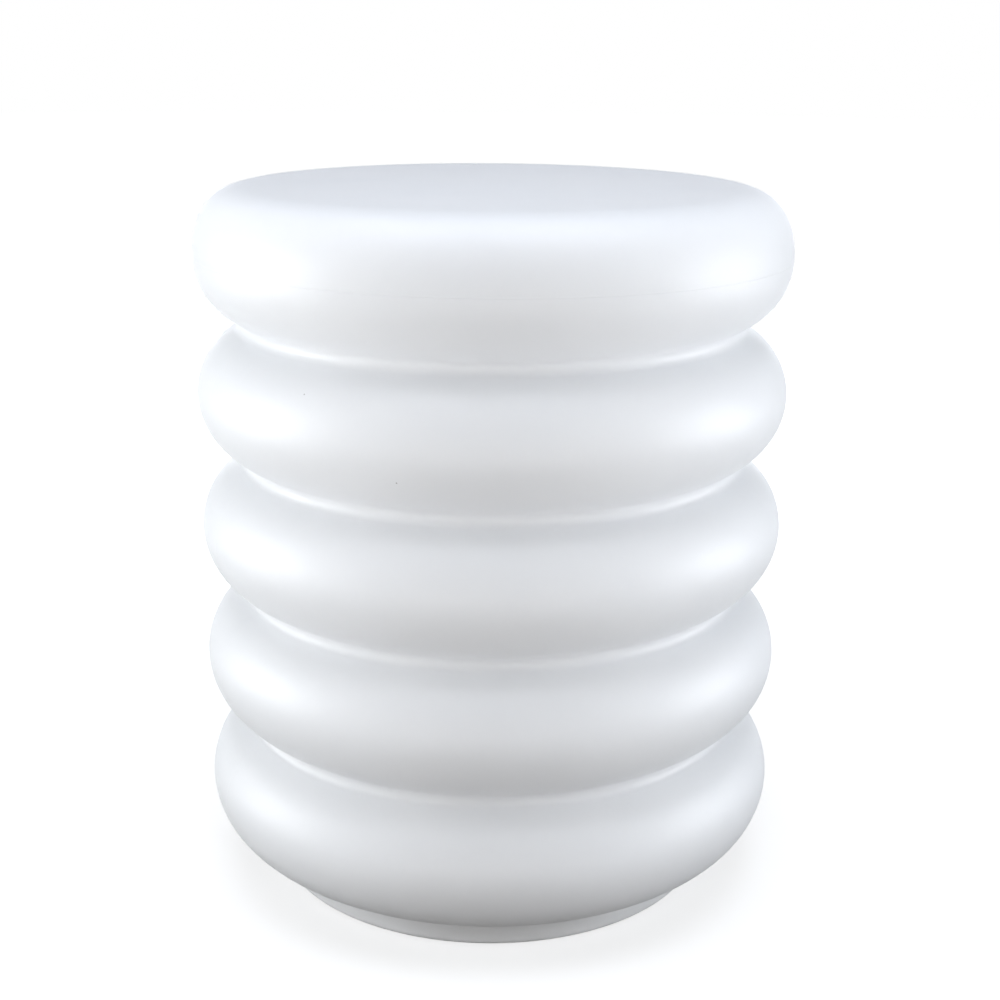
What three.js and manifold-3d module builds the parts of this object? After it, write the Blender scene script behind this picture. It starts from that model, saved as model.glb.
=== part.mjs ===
// A light-up stool. One hollow moulded body of five rounded rings stands on a foot collar, and a sealed
// lamp unit is screwed up into the opening in its underside.
// Millimetres, +Z up. The origin is on the floor, under the middle of the seat. The front is -Y.

import * as THREE from 'three';
import { mergeVertices } from 'three/addons/utils/BufferGeometryUtils.js';
import Module from 'manifold-3d';

const wasm = await Module();
wasm.setup();

// Moulded body
const outerRadius = 180;
const ringCount = 5;
const ringPitch = 82.8;
const grooveDepth = 25.7;
const grooveFillet = 5;
const crownReach = 33.7;
const crownRise = 39.5;
const crownPower = 2.26;
const wall = 4;
const footHeight = 19.6;
const footWidth = 18.8;
const footFillet = 3.6;
const recessDepth = 26;
const recessMargin = 16;

// Gap between pieces that touch, and how far a cutting or joining solid runs past the other
const fitGap = 0.3;
const overrun = 0.8;

// Battery
const cellRadius = 9.2;
const cellLength = 65;
const cellCount = 3;
const cellSpacing = 1.2;
const nubRadius = 3;
const nubHeight = 1;
const trayWall = 2.4;
const trayFloor = 1.5;
const trayHeight = 7;
const stripThickness = 0.4;
const stripHeight = 6;
const stripTab = 3;
const strapThickness = 0.8;
const strapWidth = 12;
const strapFoot = 8;

// Control board
const boardWidth = 60;
const boardDepth = 40;
const boardThickness = 1.6;
const boardStandoff = 13;
const laneOffset = 9;
const laneWidth = 17.8;

// Lamp unit
const floorThickness = 3;
const tubWall = 2.5;
const contentMargin = 9.9;
const carrierClearance = 3.4;
const carrierThickness = 2;
const carrierMargin = 3;
const ledBoardThickness = 1.6;
const rimHeight = 4;
const domeWall = 2.2;
const domeRise = 20;
const skirtDrop = 5;
const sealThickness = 1.5;
const gasketThickness = 1.5;
const openingMargin = 3.5;

// Fasteners
const flangeScrewCount = 6;
const flangeScrewRadius = 2;
const insertWall = 1;
const insertLength = 9;
const insertEngagement = 7;
const bossWall = 3.4;
const bossRoof = 3;
const bossMargin = 1;
const carrierScrewCount = 3;
const postScrewRadius = 1.5;
const postWall = 2.2;
const postScrewLength = 8;
const boardScrewRadius = 1.2;
const boardPostWall = 1.7;
const boardScrewLength = 6;

// Facets round the axis, and facets of the small round pieces
const bodySides = 36;
const cellSides = 16;
const smallSides = 12;
const screwSides = 10;

// Shapes

function turned(profile, sides) {
  const points = profile.map(([radius, height]) => new THREE.Vector2(radius, height));
  return new THREE.LatheGeometry(points, sides).rotateX(Math.PI / 2);
}

function disc(radius, bottom, top, sides) {
  return turned([[0, bottom], [radius, bottom], [radius, top], [0, top]], sides);
}

function hoop(inner, outer, bottom, top, sides) {
  const profile = [[inner, bottom], [outer, bottom], [outer, top], [inner, top], [inner, bottom]];
  return turned(profile, sides);
}

function block(width, depth, bottom, top) {
  return new THREE.BoxGeometry(width, depth, top - bottom).translate(0, 0, (bottom + top) / 2);
}

function arc(centreRadius, centreHeight, radius, from, to, steps) {
  const points = [];
  for (let i = 0; i <= steps; i += 1) {
    const angle = from + ((to - from) * i) / steps;
    points.push([centreRadius + radius * Math.cos(angle), centreHeight + radius * Math.sin(angle)]);
  }
  return points;
}

function around(radius, angle) {
  return [radius * Math.cos(angle), radius * Math.sin(angle)];
}

function tube(points, radius, sides, steps) {
  const section = [];
  for (let i = 0; i < sides; i += 1) {
    const angle = (2 * Math.PI * i) / sides;
    section.push(new THREE.Vector2(radius * Math.cos(angle), radius * Math.sin(angle)));
  }
  const route = new THREE.CatmullRomCurve3(points.map((point) => new THREE.Vector3(...point)));
  return new THREE.ExtrudeGeometry(new THREE.Shape(section), { steps, extrudePath: route });
}

// Joining and cutting

function toSolid(geometry) {
  const bare = geometry.clone();
  bare.deleteAttribute('normal');
  bare.deleteAttribute('uv');
  const merged = mergeVertices(bare);
  const triangles = [];
  for (let i = 0; i < merged.index.count; i += 3) {
    const corners = [0, 1, 2].map((k) => merged.index.getX(i + k));
    if (new Set(corners).size === corners.length) triangles.push(...corners);
  }
  const vertProperties = new Float32Array(merged.getAttribute('position').array);
  const triVerts = new Uint32Array(triangles);
  return new wasm.Manifold(new wasm.Mesh({ numProp: 3, vertProperties, triVerts }));
}

function toGeometry(solid) {
  const { vertProperties, triVerts } = solid.getMesh();
  const geometry = new THREE.BufferGeometry();
  geometry.setAttribute('position', new THREE.BufferAttribute(new Float32Array(vertProperties), 3));
  geometry.setIndex(new THREE.BufferAttribute(new Uint32Array(triVerts), 1));
  geometry.computeVertexNormals();
  return geometry;
}

function join(first, ...others) {
  return toGeometry(others.reduce((sum, other) => sum.add(toSolid(other)), toSolid(first)));
}

function cut(first, ...others) {
  return toGeometry(others.reduce((rest, other) => rest.subtract(toSolid(other)), toSolid(first)));
}

// The pieces, each placed in the group that it belongs to

const stool = new THREE.Group();
const lampUnit = new THREE.Group();
stool.add(lampUnit);

function place(group, name, geometry, [color, roughness, metalness], [x, y, z] = [0, 0, 0]) {
  const material = new THREE.MeshStandardMaterial({ color, roughness, metalness });
  const mesh = new THREE.Mesh(geometry, material);
  mesh.name = name;
  mesh.position.set(x, y, z);
  group.add(mesh);
  return mesh;
}

const bodyPlastic = [0xf1f3f6, 0.38, 0];
const lampPlastic = [0xe9eaec, 0.5, 0];
const frostedPlastic = [0xf4f4f2, 0.35, 0];
const blackPlastic = [0x1c1c1e, 0.5, 0];
const blackRubber = [0x26262a, 0.8, 0];
const greyRubber = [0x8d9094, 0.75, 0];
const screwSteel = [0xb9bbbe, 0.3, 1];
const springSteel = [0xa9abae, 0.35, 1];
const brass = [0xc9a24b, 0.35, 1];
const aluminium = [0xc4c6c9, 0.45, 1];
const nickel = [0xcfcdc6, 0.3, 1];
const boardGreen = [0x1f5b35, 0.4, 0];
const boardWhite = [0xeceeea, 0.45, 0];
const ledPackage = [0xf0e9c8, 0.35, 0];
const darkResin = [0x18181a, 0.35, 0];
const ferrite = [0x4a4b4e, 0.6, 0];
const cellSleeve = [0x2f6fae, 0.35, 0];
const connectorNylon = [0xe8e2d2, 0.5, 0];
const redJacket = [0xb3261e, 0.5, 0];
const blackJacket = [0x1d1d1f, 0.5, 0];
const whiteJacket = [0xe4e4e2, 0.5, 0];
const clearPlastic = [0xdfe8ee, 0.15, 0];
const darkLens = [0x241a20, 0.25, 0];

// Levels and radii of the lamp unit, worked out from what it holds

const floorTop = recessDepth - 2 * fitGap - gasketThickness;
const floorBottom = floorTop - floorThickness;

const cellPitch = 2 * cellRadius + cellSpacing;
const packHalfDepth = ((cellCount - 1) * cellPitch) / 2 + cellRadius + fitGap;
const trayHalfDepth = packHalfDepth + trayWall;
const trayHalfLength = cellLength / 2 + fitGap + trayWall;
const trayFront = laneWidth / 2 - laneOffset;
const batteryY = trayFront + trayHalfDepth;
const trayBottom = floorTop + fitGap;
const cellHeight = trayBottom + trayFloor + fitGap + cellRadius;
const strapBottom = cellHeight + cellRadius + fitGap;
const strapTop = strapBottom + strapThickness;

const boardRear = -laneOffset - laneWidth / 2;
const boardY = boardRear - boardDepth / 2;
const boardBottom = floorTop + boardStandoff;
const boardTop = boardBottom + boardThickness;
const boardSeat = boardTop + fitGap;

const trayCorner = Math.hypot(trayHalfLength, batteryY + trayHalfDepth);
const boardCorner = Math.hypot(boardWidth / 2, boardY - boardDepth / 2);
const tubBore = Math.max(trayCorner, boardCorner) + contentMargin;
const tubRadius = tubBore + tubWall;
const openingRadius = tubRadius + openingMargin;
const insertRadius = flangeScrewRadius + fitGap + insertWall;
const insertHole = insertRadius + fitGap;
const bossRadius = insertHole + bossWall;
const screwCircle = openingRadius + bossMargin + bossRadius;
const flangeRadius = screwCircle + bossRadius + bossMargin;
const recessRadius = flangeRadius + recessMargin;
const collarRadius = recessRadius + footWidth;

// Body: its wall follows rounded bellies, joined by filleted grooves, up to the crown of the seat

const bellyRadius = (grooveDepth ** 2 + (ringPitch / 2) ** 2) / (2 * grooveDepth) - grooveFillet;
const bellyCentre = outerRadius - bellyRadius;
const grooveCentre = outerRadius - grooveDepth + grooveFillet;
const tangentAngle = Math.asin(ringPitch / 2 / (bellyRadius + grooveFillet));
const lowestCentre = footHeight + bellyRadius;
const highestCentre = lowestCentre + (ringCount - 1) * ringPitch;
const seatHeight = highestCentre + crownRise;

// The angle at which the lowest belly meets the collar, on the skin that lies this deep in the wall
function footAngle(depth) {
  const reach = (collarRadius - depth - bellyCentre) / (bellyRadius - depth);
  return -Math.acos(Math.min(Math.max(reach, 0), 1));
}

function collarTop(depth) {
  return lowestCentre + (bellyRadius - depth) * Math.sin(footAngle(depth));
}

function crown(depth, steps) {
  const points = [];
  for (let i = 1; i <= steps; i += 1) {
    const angle = (Math.PI / 2) * (i / steps);
    const across = (crownReach - depth) * Math.abs(Math.cos(angle)) ** (2 / crownPower);
    const up = (crownRise - depth) * Math.sin(angle) ** (2 / crownPower);
    points.push([outerRadius - crownReach + across, highestCentre + up]);
  }
  return points;
}

// One skin of the wall, from the collar up to the middle of the seat
function skin(depth, footSteps, bellySteps, grooveSteps, crownSteps) {
  const belly = bellyRadius - depth;
  const points = arc(bellyCentre, lowestCentre, belly, footAngle(depth), tangentAngle, footSteps);
  for (let ring = 1; ring < ringCount; ring += 1) {
    const height = lowestCentre + ring * ringPitch;
    const last = ring === ringCount - 1;
    const grooveFrom = Math.PI + tangentAngle;
    const grooveTo = Math.PI - tangentAngle;
    const middle = height - ringPitch / 2;
    const hollow = arc(grooveCentre, middle, grooveFillet + depth, grooveFrom, grooveTo, grooveSteps);
    const bulgeTo = last ? 0 : tangentAngle;
    const bulgeSteps = last ? bellySteps / 2 : bellySteps;
    points.push(...hollow.slice(1, -1));
    points.push(...arc(bellyCentre, height, belly, -tangentAngle, bulgeTo, bulgeSteps));
  }
  return [...points, ...crown(depth, crownSteps), [0, seatHeight - depth]];
}

const bodyProfile = [
  ...skin(wall, 5, 4, 3, 4).reverse(),
  [collarRadius - wall, collarTop(wall)],
  [collarRadius - wall, wall],
  [recessRadius + wall, wall],
  [recessRadius + wall, recessDepth + wall],
  [openingRadius, recessDepth + wall],
  [openingRadius, recessDepth],
  [recessRadius, recessDepth],
  ...arc(recessRadius + footFillet, footFillet, footFillet, Math.PI, 1.5 * Math.PI, 2),
  ...arc(collarRadius - footFillet, footFillet, footFillet, -Math.PI / 2, 0, 2),
  [collarRadius, collarTop(0)],
  ...skin(0, 7, 6, 3, 6),
];

const insertTop = recessDepth + fitGap + insertLength;
const bossTop = insertTop + fitGap + bossRoof;
const flangeScrewAngles = [];
for (let i = 0; i < flangeScrewCount; i += 1) {
  flangeScrewAngles.push((2 * Math.PI * (i + 0.5)) / flangeScrewCount);
}

const bosses = [];
const insertHoles = [];
const gasketHoles = [];
const flangeHoles = [];
for (const angle of flangeScrewAngles) {
  const [x, y] = around(screwCircle, angle);
  const top = insertTop + fitGap;
  const ledgeTop = recessDepth + wall;
  bosses.push(disc(bossRadius, ledgeTop - overrun, bossTop, smallSides).translate(x, y, 0));
  insertHoles.push(disc(insertHole, recessDepth - overrun, top, smallSides).translate(x, y, 0));
  const throughGasket = flangeScrewRadius + 2 * fitGap;
  gasketHoles.push(disc(throughGasket, floorTop, recessDepth, screwSides).translate(x, y, 0));
  const throughFlange = flangeScrewRadius + fitGap;
  const below = floorBottom - overrun;
  flangeHoles.push(disc(throughFlange, below, recessDepth, screwSides).translate(x, y, 0));
}

const bodyWithBosses = join(turned(bodyProfile, bodySides), ...bosses);
place(stool, 'shell', cut(bodyWithBosses, ...insertHoles), bodyPlastic);

// Screws: the bearing face of the head is at the piece's origin, and the shank runs down from it

const headReachShare = 1.9;
const headHeightShare = 1.2;
const headEdgeShare = 0.6;

function screw(radius, length) {
  const head = radius * headReachShare;
  const rise = radius * headHeightShare;
  const profile = [[0, -length], [radius, -length], [radius, 0], [head, 0]];
  profile.push([head, rise * headEdgeShare], [head * headEdgeShare, rise], [0, rise]);
  return turned(profile, screwSides);
}

// Brass inserts in the bosses, and the screws that hold the flange up to them

const flangeScrewLength = recessDepth + 2 * fitGap + insertEngagement - floorBottom;
flangeScrewAngles.forEach((angle, i) => {
  const [x, y] = around(screwCircle, angle);
  const sleeve = hoop(flangeScrewRadius + fitGap, insertRadius, 0, insertLength, smallSides);
  place(stool, `thread_insert_${i + 1}`, sleeve, brass, [x, y, recessDepth + fitGap]);
  const shape = screw(flangeScrewRadius, flangeScrewLength);
  const held = place(stool, `flange_screw_${i + 1}`, shape, screwSteel, [x, y, floorBottom - fitGap]);
  held.rotation.x = Math.PI;
});

// Gasket between the flange and the body

const gasketInner = openingRadius + bossMargin;
const gasketOuter = flangeRadius - bossMargin;
const gasketRing = hoop(gasketInner, gasketOuter, floorTop + fitGap, recessDepth - fitGap, bodySides);
place(lampUnit, 'flange_gasket', cut(gasketRing, ...gasketHoles), blackRubber);

// Panel in the tub's floor: charging port, power button and indicator, in a row under the board

const portInset = 13;
const portToButton = 19;
const buttonToLens = 15;
const portX = portInset - boardWidth / 2;
const buttonX = portX + portToButton;
const lensX = buttonX + buttonToLens;

const stemRadius = 3.7;
const stemTaperShare = 0.84;
const stopperLip = 1.9;
const stopperThickness = 2;
const stopperTab = 2.4;
const hingeReach = 2.8;
const hingeGap = 0.9;
const strapBandThickness = 1;
const strapBandWidth = 5;
const anchorReach = 6.6;
const anchorPad = 4;
const anchorStem = 2;
const anchorBarb = 3;
const anchorBarbHeight = 1.4;
const portHole = stemRadius + fitGap;
const stopperRadius = stemRadius + stopperLip;
const hingeX = portX - stopperRadius - hingeReach;
const anchorX = hingeX - anchorReach;

const capRadius = 6;
const capProud = 1.2;
const capBevel = 0.6;
const capFlange = 1.6;
const capFlangeThickness = 1.3;
const buttonTravel = 1.2;
const buttonHole = capRadius + fitGap;

const lensRadius = 2.5;
const lensFlange = 1.5;
const lensFlangeThickness = 1;
const lensRise = 6;
const lensHole = lensRadius + fitGap;

// Tub with its flange, posts and holes

const connectorHeight = 6;
const connectorTop = boardSeat + connectorHeight;
const carrierBottom = Math.max(strapTop, connectorTop) + carrierClearance;
const carrierTop = carrierBottom + carrierThickness;
const tubTop = carrierTop + rimHeight;

const postRadius = postScrewRadius + fitGap + postWall;
const carrierCircle = tubBore - carrierMargin - postRadius - carrierMargin;
const carrierScrewPlaces = [];
for (let i = 0; i < carrierScrewCount; i += 1) {
  const angle = Math.PI / 6 + (2 * Math.PI * i) / carrierScrewCount;
  carrierScrewPlaces.push(around(carrierCircle, angle));
}

const strapLeg = trayHalfDepth + fitGap;
const strapScrewReach = strapLeg + strapThickness + strapFoot / 2;
const strapScrewPlaces = [[0, batteryY - strapScrewReach], [0, batteryY + strapScrewReach]];
const strapPostTop = trayBottom + trayHeight;
const strapFootBottom = strapPostTop + fitGap;

const boardInset = 4;
const pegRise = 1.2;
const boardX = boardWidth / 2 - boardInset;
const boardHalf = boardDepth / 2 - boardInset;
const boardScrewPlaces = [[-boardX, boardY + boardHalf], [boardX, boardY - boardHalf]];
const boardPegPlaces = [[boardX, boardY + boardHalf], [-boardX, boardY - boardHalf]];
const boardPostRadius = boardScrewRadius + fitGap + boardPostWall;

const tubProfile = [
  [0, floorBottom],
  [flangeRadius, floorBottom],
  [flangeRadius, floorTop],
  [tubRadius, floorTop],
  [tubRadius, tubTop],
  [tubBore, tubTop],
  [tubBore, floorTop],
  [0, floorTop],
];

function post(radius, top, [x, y], sides) {
  return disc(radius, floorTop - overrun, top, sides).translate(x, y, 0);
}

function pilot(radius, depth, top, [x, y]) {
  return disc(radius + fitGap, top - depth, top + overrun, screwSides).translate(x, y, 0);
}

function floorHole(radius, x, sides) {
  return disc(radius, floorBottom - overrun, floorTop + overrun, sides).translate(x, boardY, 0);
}

const carrierPostTop = carrierBottom - fitGap;
const boardPostTop = boardBottom - fitGap;
const tubPosts = [
  ...carrierScrewPlaces.map((spot) => post(postRadius, carrierPostTop, spot, smallSides)),
  ...strapScrewPlaces.map((spot) => post(postRadius, strapPostTop, spot, smallSides)),
  ...boardScrewPlaces.map((spot) => post(boardPostRadius, boardPostTop, spot, smallSides)),
  ...boardPegPlaces.map((spot) => post(boardPostRadius, boardPostTop, spot, smallSides)),
  ...boardPegPlaces.map((spot) => post(boardScrewRadius, boardTop + pegRise, spot, screwSides)),
];
const tubHoles = [
  ...flangeHoles,
  ...carrierScrewPlaces.map((spot) => pilot(postScrewRadius, postScrewLength, carrierPostTop, spot)),
  ...strapScrewPlaces.map((spot) => pilot(postScrewRadius, postScrewLength, strapPostTop, spot)),
  ...boardScrewPlaces.map((spot) => pilot(boardScrewRadius, boardScrewLength, boardPostTop, spot)),
  floorHole(portHole, portX, smallSides),
  floorHole(anchorStem + fitGap, anchorX, screwSides),
  floorHole(buttonHole, buttonX, cellSides),
  floorHole(lensHole, lensX, screwSides),
];
const tub = cut(join(turned(tubProfile, bodySides), ...tubPosts), ...tubHoles);
place(lampUnit, 'lamp_tub', tub, lampPlastic);

// Cover over the LEDs: a shallow cap on a skirt that slips over the tub's rim, sealed by a ring

function cap(edgeRadius, edgeHeight, rise, steps) {
  const radius = (edgeRadius ** 2 + rise ** 2) / (2 * rise);
  const edgeAngle = Math.asin(1 - rise / radius);
  return arc(0, edgeHeight + rise - radius, radius, edgeAngle, Math.PI / 2, steps);
}

const shoulderBottom = tubTop + sealThickness + 2 * fitGap;
const shoulderTop = shoulderBottom + domeWall;
const skirtInner = tubRadius + fitGap;
const skirtOuter = skirtInner + domeWall;
const skirtBottom = tubTop - skirtDrop;
const domeProfile = [
  ...cap(tubBore, shoulderBottom, domeRise, 6).reverse(),
  [skirtInner, shoulderBottom],
  [skirtInner, skirtBottom],
  [skirtOuter, skirtBottom],
  ...cap(skirtOuter, shoulderTop, domeRise, 6),
];
place(lampUnit, 'diffuser_dome', turned(domeProfile, bodySides), frostedPlastic);

const seal = hoop(tubBore, tubRadius, tubTop + fitGap, shoulderBottom - fitGap, bodySides);
place(lampUnit, 'dome_seal', seal, blackRubber);

// LED carrier plate, its screws, and the board bonded to it

const leadX = 14;
const leadHole = 3;
const carrierRadius = tubBore - carrierMargin;
const leadY = -laneOffset - laneWidth / 4;
const through = (radius, [x, y], bottom, top) =>
  disc(radius, bottom - overrun, top + overrun, screwSides).translate(x, y, 0);
const carrierHoles = [
  through(leadHole, [leadX, leadY], carrierBottom, carrierTop),
  ...carrierScrewPlaces.map((spot) =>
    through(postScrewRadius + fitGap, spot, carrierBottom, carrierTop)),
];
const carrierPlate = disc(carrierRadius, carrierBottom, carrierTop, bodySides);
place(lampUnit, 'led_carrier', cut(carrierPlate, ...carrierHoles), aluminium);

carrierScrewPlaces.forEach(([x, y], i) => {
  const shape = screw(postScrewRadius, postScrewLength);
  place(lampUnit, `carrier_screw_${i + 1}`, shape, screwSteel, [x, y, carrierTop + fitGap]);
});

const ledBoardClearance = 7;
const ledCount = 8;
const ledCircleShare = 0.74;
const ledSize = 5;
const ledBody = 1;
const ledEmitter = 1.9;
const ledEmitterRise = 0.6;
const ledBoardRadius = carrierCircle - postScrewRadius * headReachShare - ledBoardClearance;
const ledBoardBottom = carrierTop + fitGap;
const ledBoardTop = ledBoardBottom + ledBoardThickness;
place(lampUnit, 'led_board', disc(ledBoardRadius, ledBoardBottom, ledBoardTop, bodySides), boardWhite);

for (let i = 0; i < ledCount; i += 1) {
  const angle = (2 * Math.PI * i) / ledCount;
  const [x, y] = around(ledBoardRadius * ledCircleShare, angle);
  const emitter = disc(ledEmitter, ledBody - ledEmitterRise, ledBody + ledEmitterRise, screwSides);
  const shape = join(block(ledSize, ledSize, 0, ledBody), emitter);
  const led = place(lampUnit, `led_${i + 1}`, shape, ledPackage, [x, y, ledBoardTop + fitGap]);
  led.rotation.z = angle;
}

const receiverWidth = 6;
const receiverDepth = 4;
const receiverHeight = 6.5;
const receiverBulge = 2;
const receiverBody = block(receiverWidth, receiverDepth, 0, receiverHeight);
const receiverEye = disc(receiverBulge, receiverHeight / 3, (receiverHeight * 2) / 3, smallSides);
const receiver = join(receiverBody, receiverEye.translate(0, -receiverDepth / 2, 0));
place(lampUnit, 'ir_receiver', receiver, darkLens, [0, 0, ledBoardTop + fitGap]);

// Control board on its posts, with what is soldered to its upper side

const boardHoles = [...boardScrewPlaces, ...boardPegPlaces].map((spot) =>
  through(boardScrewRadius + fitGap, spot, boardBottom, boardTop));
const boardPlate = block(boardWidth, boardDepth, boardBottom, boardTop).translate(0, boardY, 0);
place(lampUnit, 'control_board', cut(boardPlate, ...boardHoles), boardGreen);

boardScrewPlaces.forEach(([x, y], i) => {
  const shape = screw(boardScrewRadius, boardScrewLength);
  place(lampUnit, `board_screw_${i + 1}`, shape, screwSteel, [x, y, boardSeat]);
});

const chipWidth = 10;
const chipDepth = 6;
const chipHeight = 1.7;
const chipX = -10;
place(lampUnit, 'microcontroller', block(chipWidth, chipDepth, 0, chipHeight), darkResin,
  [chipX, boardY, boardSeat]);

const coilSize = 8;
const coilHeight = 4;
const coilX = 12;
const coilCanRadius = 3.2;
const coilBase = block(coilSize, coilSize, 0, coilHeight / 4);
const coilCan = disc(coilCanRadius, 0, coilHeight, smallSides);
place(lampUnit, 'inductor', join(coilBase, coilCan), ferrite, [coilX, boardY, boardSeat]);

const connectorWidth = 8;
const connectorDepth = 6;
const connectorWall = 1;
const connectorSlot = 2;
const connectorInset = 1;
const connectorY = boardRear - connectorInset - connectorDepth / 2;
const connectorBody = block(connectorWidth, connectorDepth, 0, connectorHeight);
const slotWidth = connectorWidth - 2 * connectorWall;
const slot = block(slotWidth, connectorSlot, connectorHeight / 2, connectorHeight + overrun);
const connector = cut(connectorBody, slot);
const batteryPlugX = -12;
place(lampUnit, 'battery_connector', connector, connectorNylon, [batteryPlugX, connectorY, boardSeat]);
place(lampUnit, 'led_connector', connector.clone(), connectorNylon, [leadX, connectorY, boardSeat]);

// Charging port under the board, its rubber stopper, and the fixed end of the stopper's strap

const jackWidth = 9;
const jackDepth = 13;
const jackMouth = 3;
const jackMouthDepth = 9.5;
const jackPin = 1;
const jackHeight = boardStandoff - 2 * fitGap;
const jackBody = block(jackWidth, jackDepth, 0, jackHeight);
const mouth = disc(jackMouth, -overrun, jackMouthDepth, smallSides);
const pin = disc(jackPin, overrun, jackMouthDepth + overrun, screwSides);
const jack = join(cut(jackBody, mouth), pin);
place(lampUnit, 'charge_jack', jack, blackPlastic, [portX, boardY, floorTop + fitGap]);

// The stopper's origin is on its hinge line, so its shape is drawn from there towards +X
const stopperTop = strapBandThickness / 2;
const stopperX = portX - hingeX;
const stemTop = stopperTop + floorThickness;
const stemProfile = [
  [0, 0],
  [stemRadius, 0],
  [stemRadius, stopperTop + fitGap],
  [stemRadius * stemTaperShare, stemTop],
  [0, stemTop],
];
const bandDepth = stopperRadius + stopperTab + stopperX - hingeGap;
const band = block(bandDepth, strapBandWidth, -stopperTop, stopperTop);
const stopper = join(
  disc(stopperRadius, stopperTop - stopperThickness, stopperTop, smallSides).translate(stopperX, 0, 0),
  turned(stemProfile, smallSides).translate(stopperX, 0, 0),
  band.translate(hingeGap + bandDepth / 2, 0, 0),
);
const hingeHeight = floorBottom - fitGap - stopperTop;
place(lampUnit, 'port_plug', stopper, greyRubber, [hingeX, boardY, hingeHeight]);

const anchorBand = anchorReach - hingeGap;
const anchorBandBlock = block(anchorBand, strapBandWidth, -stopperTop, stopperTop);
const barbBottom = stopperTop + fitGap + floorThickness + fitGap;
const barbTop = barbBottom + anchorBarbHeight;
const anchorProfile = [
  [0, -stopperTop],
  [anchorPad, -stopperTop],
  [anchorPad, stopperTop],
  [anchorStem, stopperTop],
  [anchorStem, barbBottom],
  [anchorBarb, barbBottom],
  [anchorStem, barbTop],
  [0, barbTop],
];
const anchor = join(
  turned(anchorProfile, screwSides),
  anchorBandBlock.translate(anchorBand / 2, 0, 0),
);
place(lampUnit, 'port_plug_anchor', anchor, greyRubber, [anchorX, boardY, hingeHeight]);

// Power button, return spring, and the switch over it

const capBottom = floorBottom - capProud;
const capTop = floorTop + fitGap + capFlangeThickness;
const capProfile = [
  [0, capBottom],
  [capRadius - capBevel, capBottom],
  [capRadius, capBottom + capBevel],
  [capRadius, floorTop + fitGap],
  [capRadius + capFlange, floorTop + fitGap],
  [capRadius + capFlange, capTop],
  [0, capTop],
];
place(lampUnit, 'power_button', turned(capProfile, cellSides), lampPlastic, [buttonX, boardY, 0]);

const switchSize = 12;
const switchHeight = 4;
const plungerRadius = 1.9;
const plungerReach = 0.8;
const switchTop = boardBottom - fitGap;
const switchBottom = switchTop - switchHeight;
const plungerTop = switchBottom + plungerReach;
const switchBore = disc(plungerRadius + fitGap, switchBottom - overrun,
  plungerTop + buttonTravel + fitGap, smallSides);
const switchShape = cut(block(switchSize, switchSize, switchBottom, switchTop), switchBore);
place(lampUnit, 'switch_body', switchShape, blackPlastic, [buttonX, boardY, 0]);
place(lampUnit, 'switch_plunger', disc(plungerRadius, capTop + fitGap, plungerTop, smallSides),
  connectorNylon, [buttonX, boardY, 0]);

const springRadius = 3.6;
const springWire = 0.35;
const springTurns = 4;
const springSteps = 8;
const springSides = 5;
const springFoot = capTop + fitGap + springWire;
const springHead = switchBottom - fitGap - springWire;
const springPoints = [];
for (let i = 0; i <= springTurns * springSteps; i += 1) {
  const share = i / (springTurns * springSteps);
  const [x, y] = around(springRadius, 2 * Math.PI * springTurns * share);
  springPoints.push([x, y, springFoot + (springHead - springFoot) * share]);
}
const springShape = tube(springPoints, springWire, springSides, springTurns * springSteps);
place(lampUnit, 'button_spring', springShape, springSteel, [buttonX, boardY, 0]);

// The least gap between neighbouring turns, measured on the points that the wire follows
let springGap = Infinity;
for (let i = 0; i + springSteps < springPoints.length; i += 1) {
  const here = new THREE.Vector3(...springPoints[i]);
  const above = new THREE.Vector3(...springPoints[i + springSteps]);
  springGap = Math.min(springGap, here.distanceTo(above) - 2 * springWire);
}
console.log(`least gap between turns of the button spring: ${springGap.toFixed(2)} mm`);

// Indicator: a small LED under the board shines down a clear light pipe in the floor

const lensProfile = [
  [0, floorBottom],
  [lensRadius, floorBottom],
  [lensRadius, floorTop + fitGap],
  [lensRadius + lensFlange, floorTop + fitGap],
  [lensRadius + lensFlange, floorTop + fitGap + lensFlangeThickness],
  [lensRadius, floorTop + fitGap + lensFlangeThickness],
  [lensRadius, floorTop + lensRise],
  [0, floorTop + lensRise],
];
place(lampUnit, 'indicator_lens', turned(lensProfile, screwSides), clearPlastic, [lensX, boardY, 0]);

const indicatorRadius = 1.5;
const indicatorFlange = 0.4;
const indicatorFlangeThickness = 1;
const indicatorTop = boardBottom - fitGap;
const indicatorProfile = [
  [0, floorTop + lensRise + fitGap],
  [indicatorRadius, floorTop + lensRise + fitGap + indicatorFlange],
  [indicatorRadius, indicatorTop - indicatorFlangeThickness],
  [indicatorRadius + indicatorFlange, indicatorTop - indicatorFlangeThickness],
  [indicatorRadius + indicatorFlange, indicatorTop],
  [0, indicatorTop],
];
place(lampUnit, 'indicator_led', turned(indicatorProfile, screwSides), clearPlastic,
  [lensX, boardY, 0]);

// Battery: cells in a tray, joined by strips, held down by a strap

const cellProfile = [
  [0, -cellLength / 2],
  [cellRadius, -cellLength / 2],
  [cellRadius, cellLength / 2 - nubHeight],
  [nubRadius, cellLength / 2 - nubHeight],
  [nubRadius, cellLength / 2],
  [0, cellLength / 2],
];
const cellPlaces = [];
for (let i = 0; i < cellCount; i += 1) {
  cellPlaces.push(batteryY + (i - (cellCount - 1) / 2) * cellPitch);
}
cellPlaces.forEach((y, i) => {
  const cell = place(lampUnit, `battery_cell_${i + 1}`, turned(cellProfile, cellSides), cellSleeve,
    [0, y, cellHeight]);
  cell.rotation.y = Math.PI / 2;
});

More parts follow.
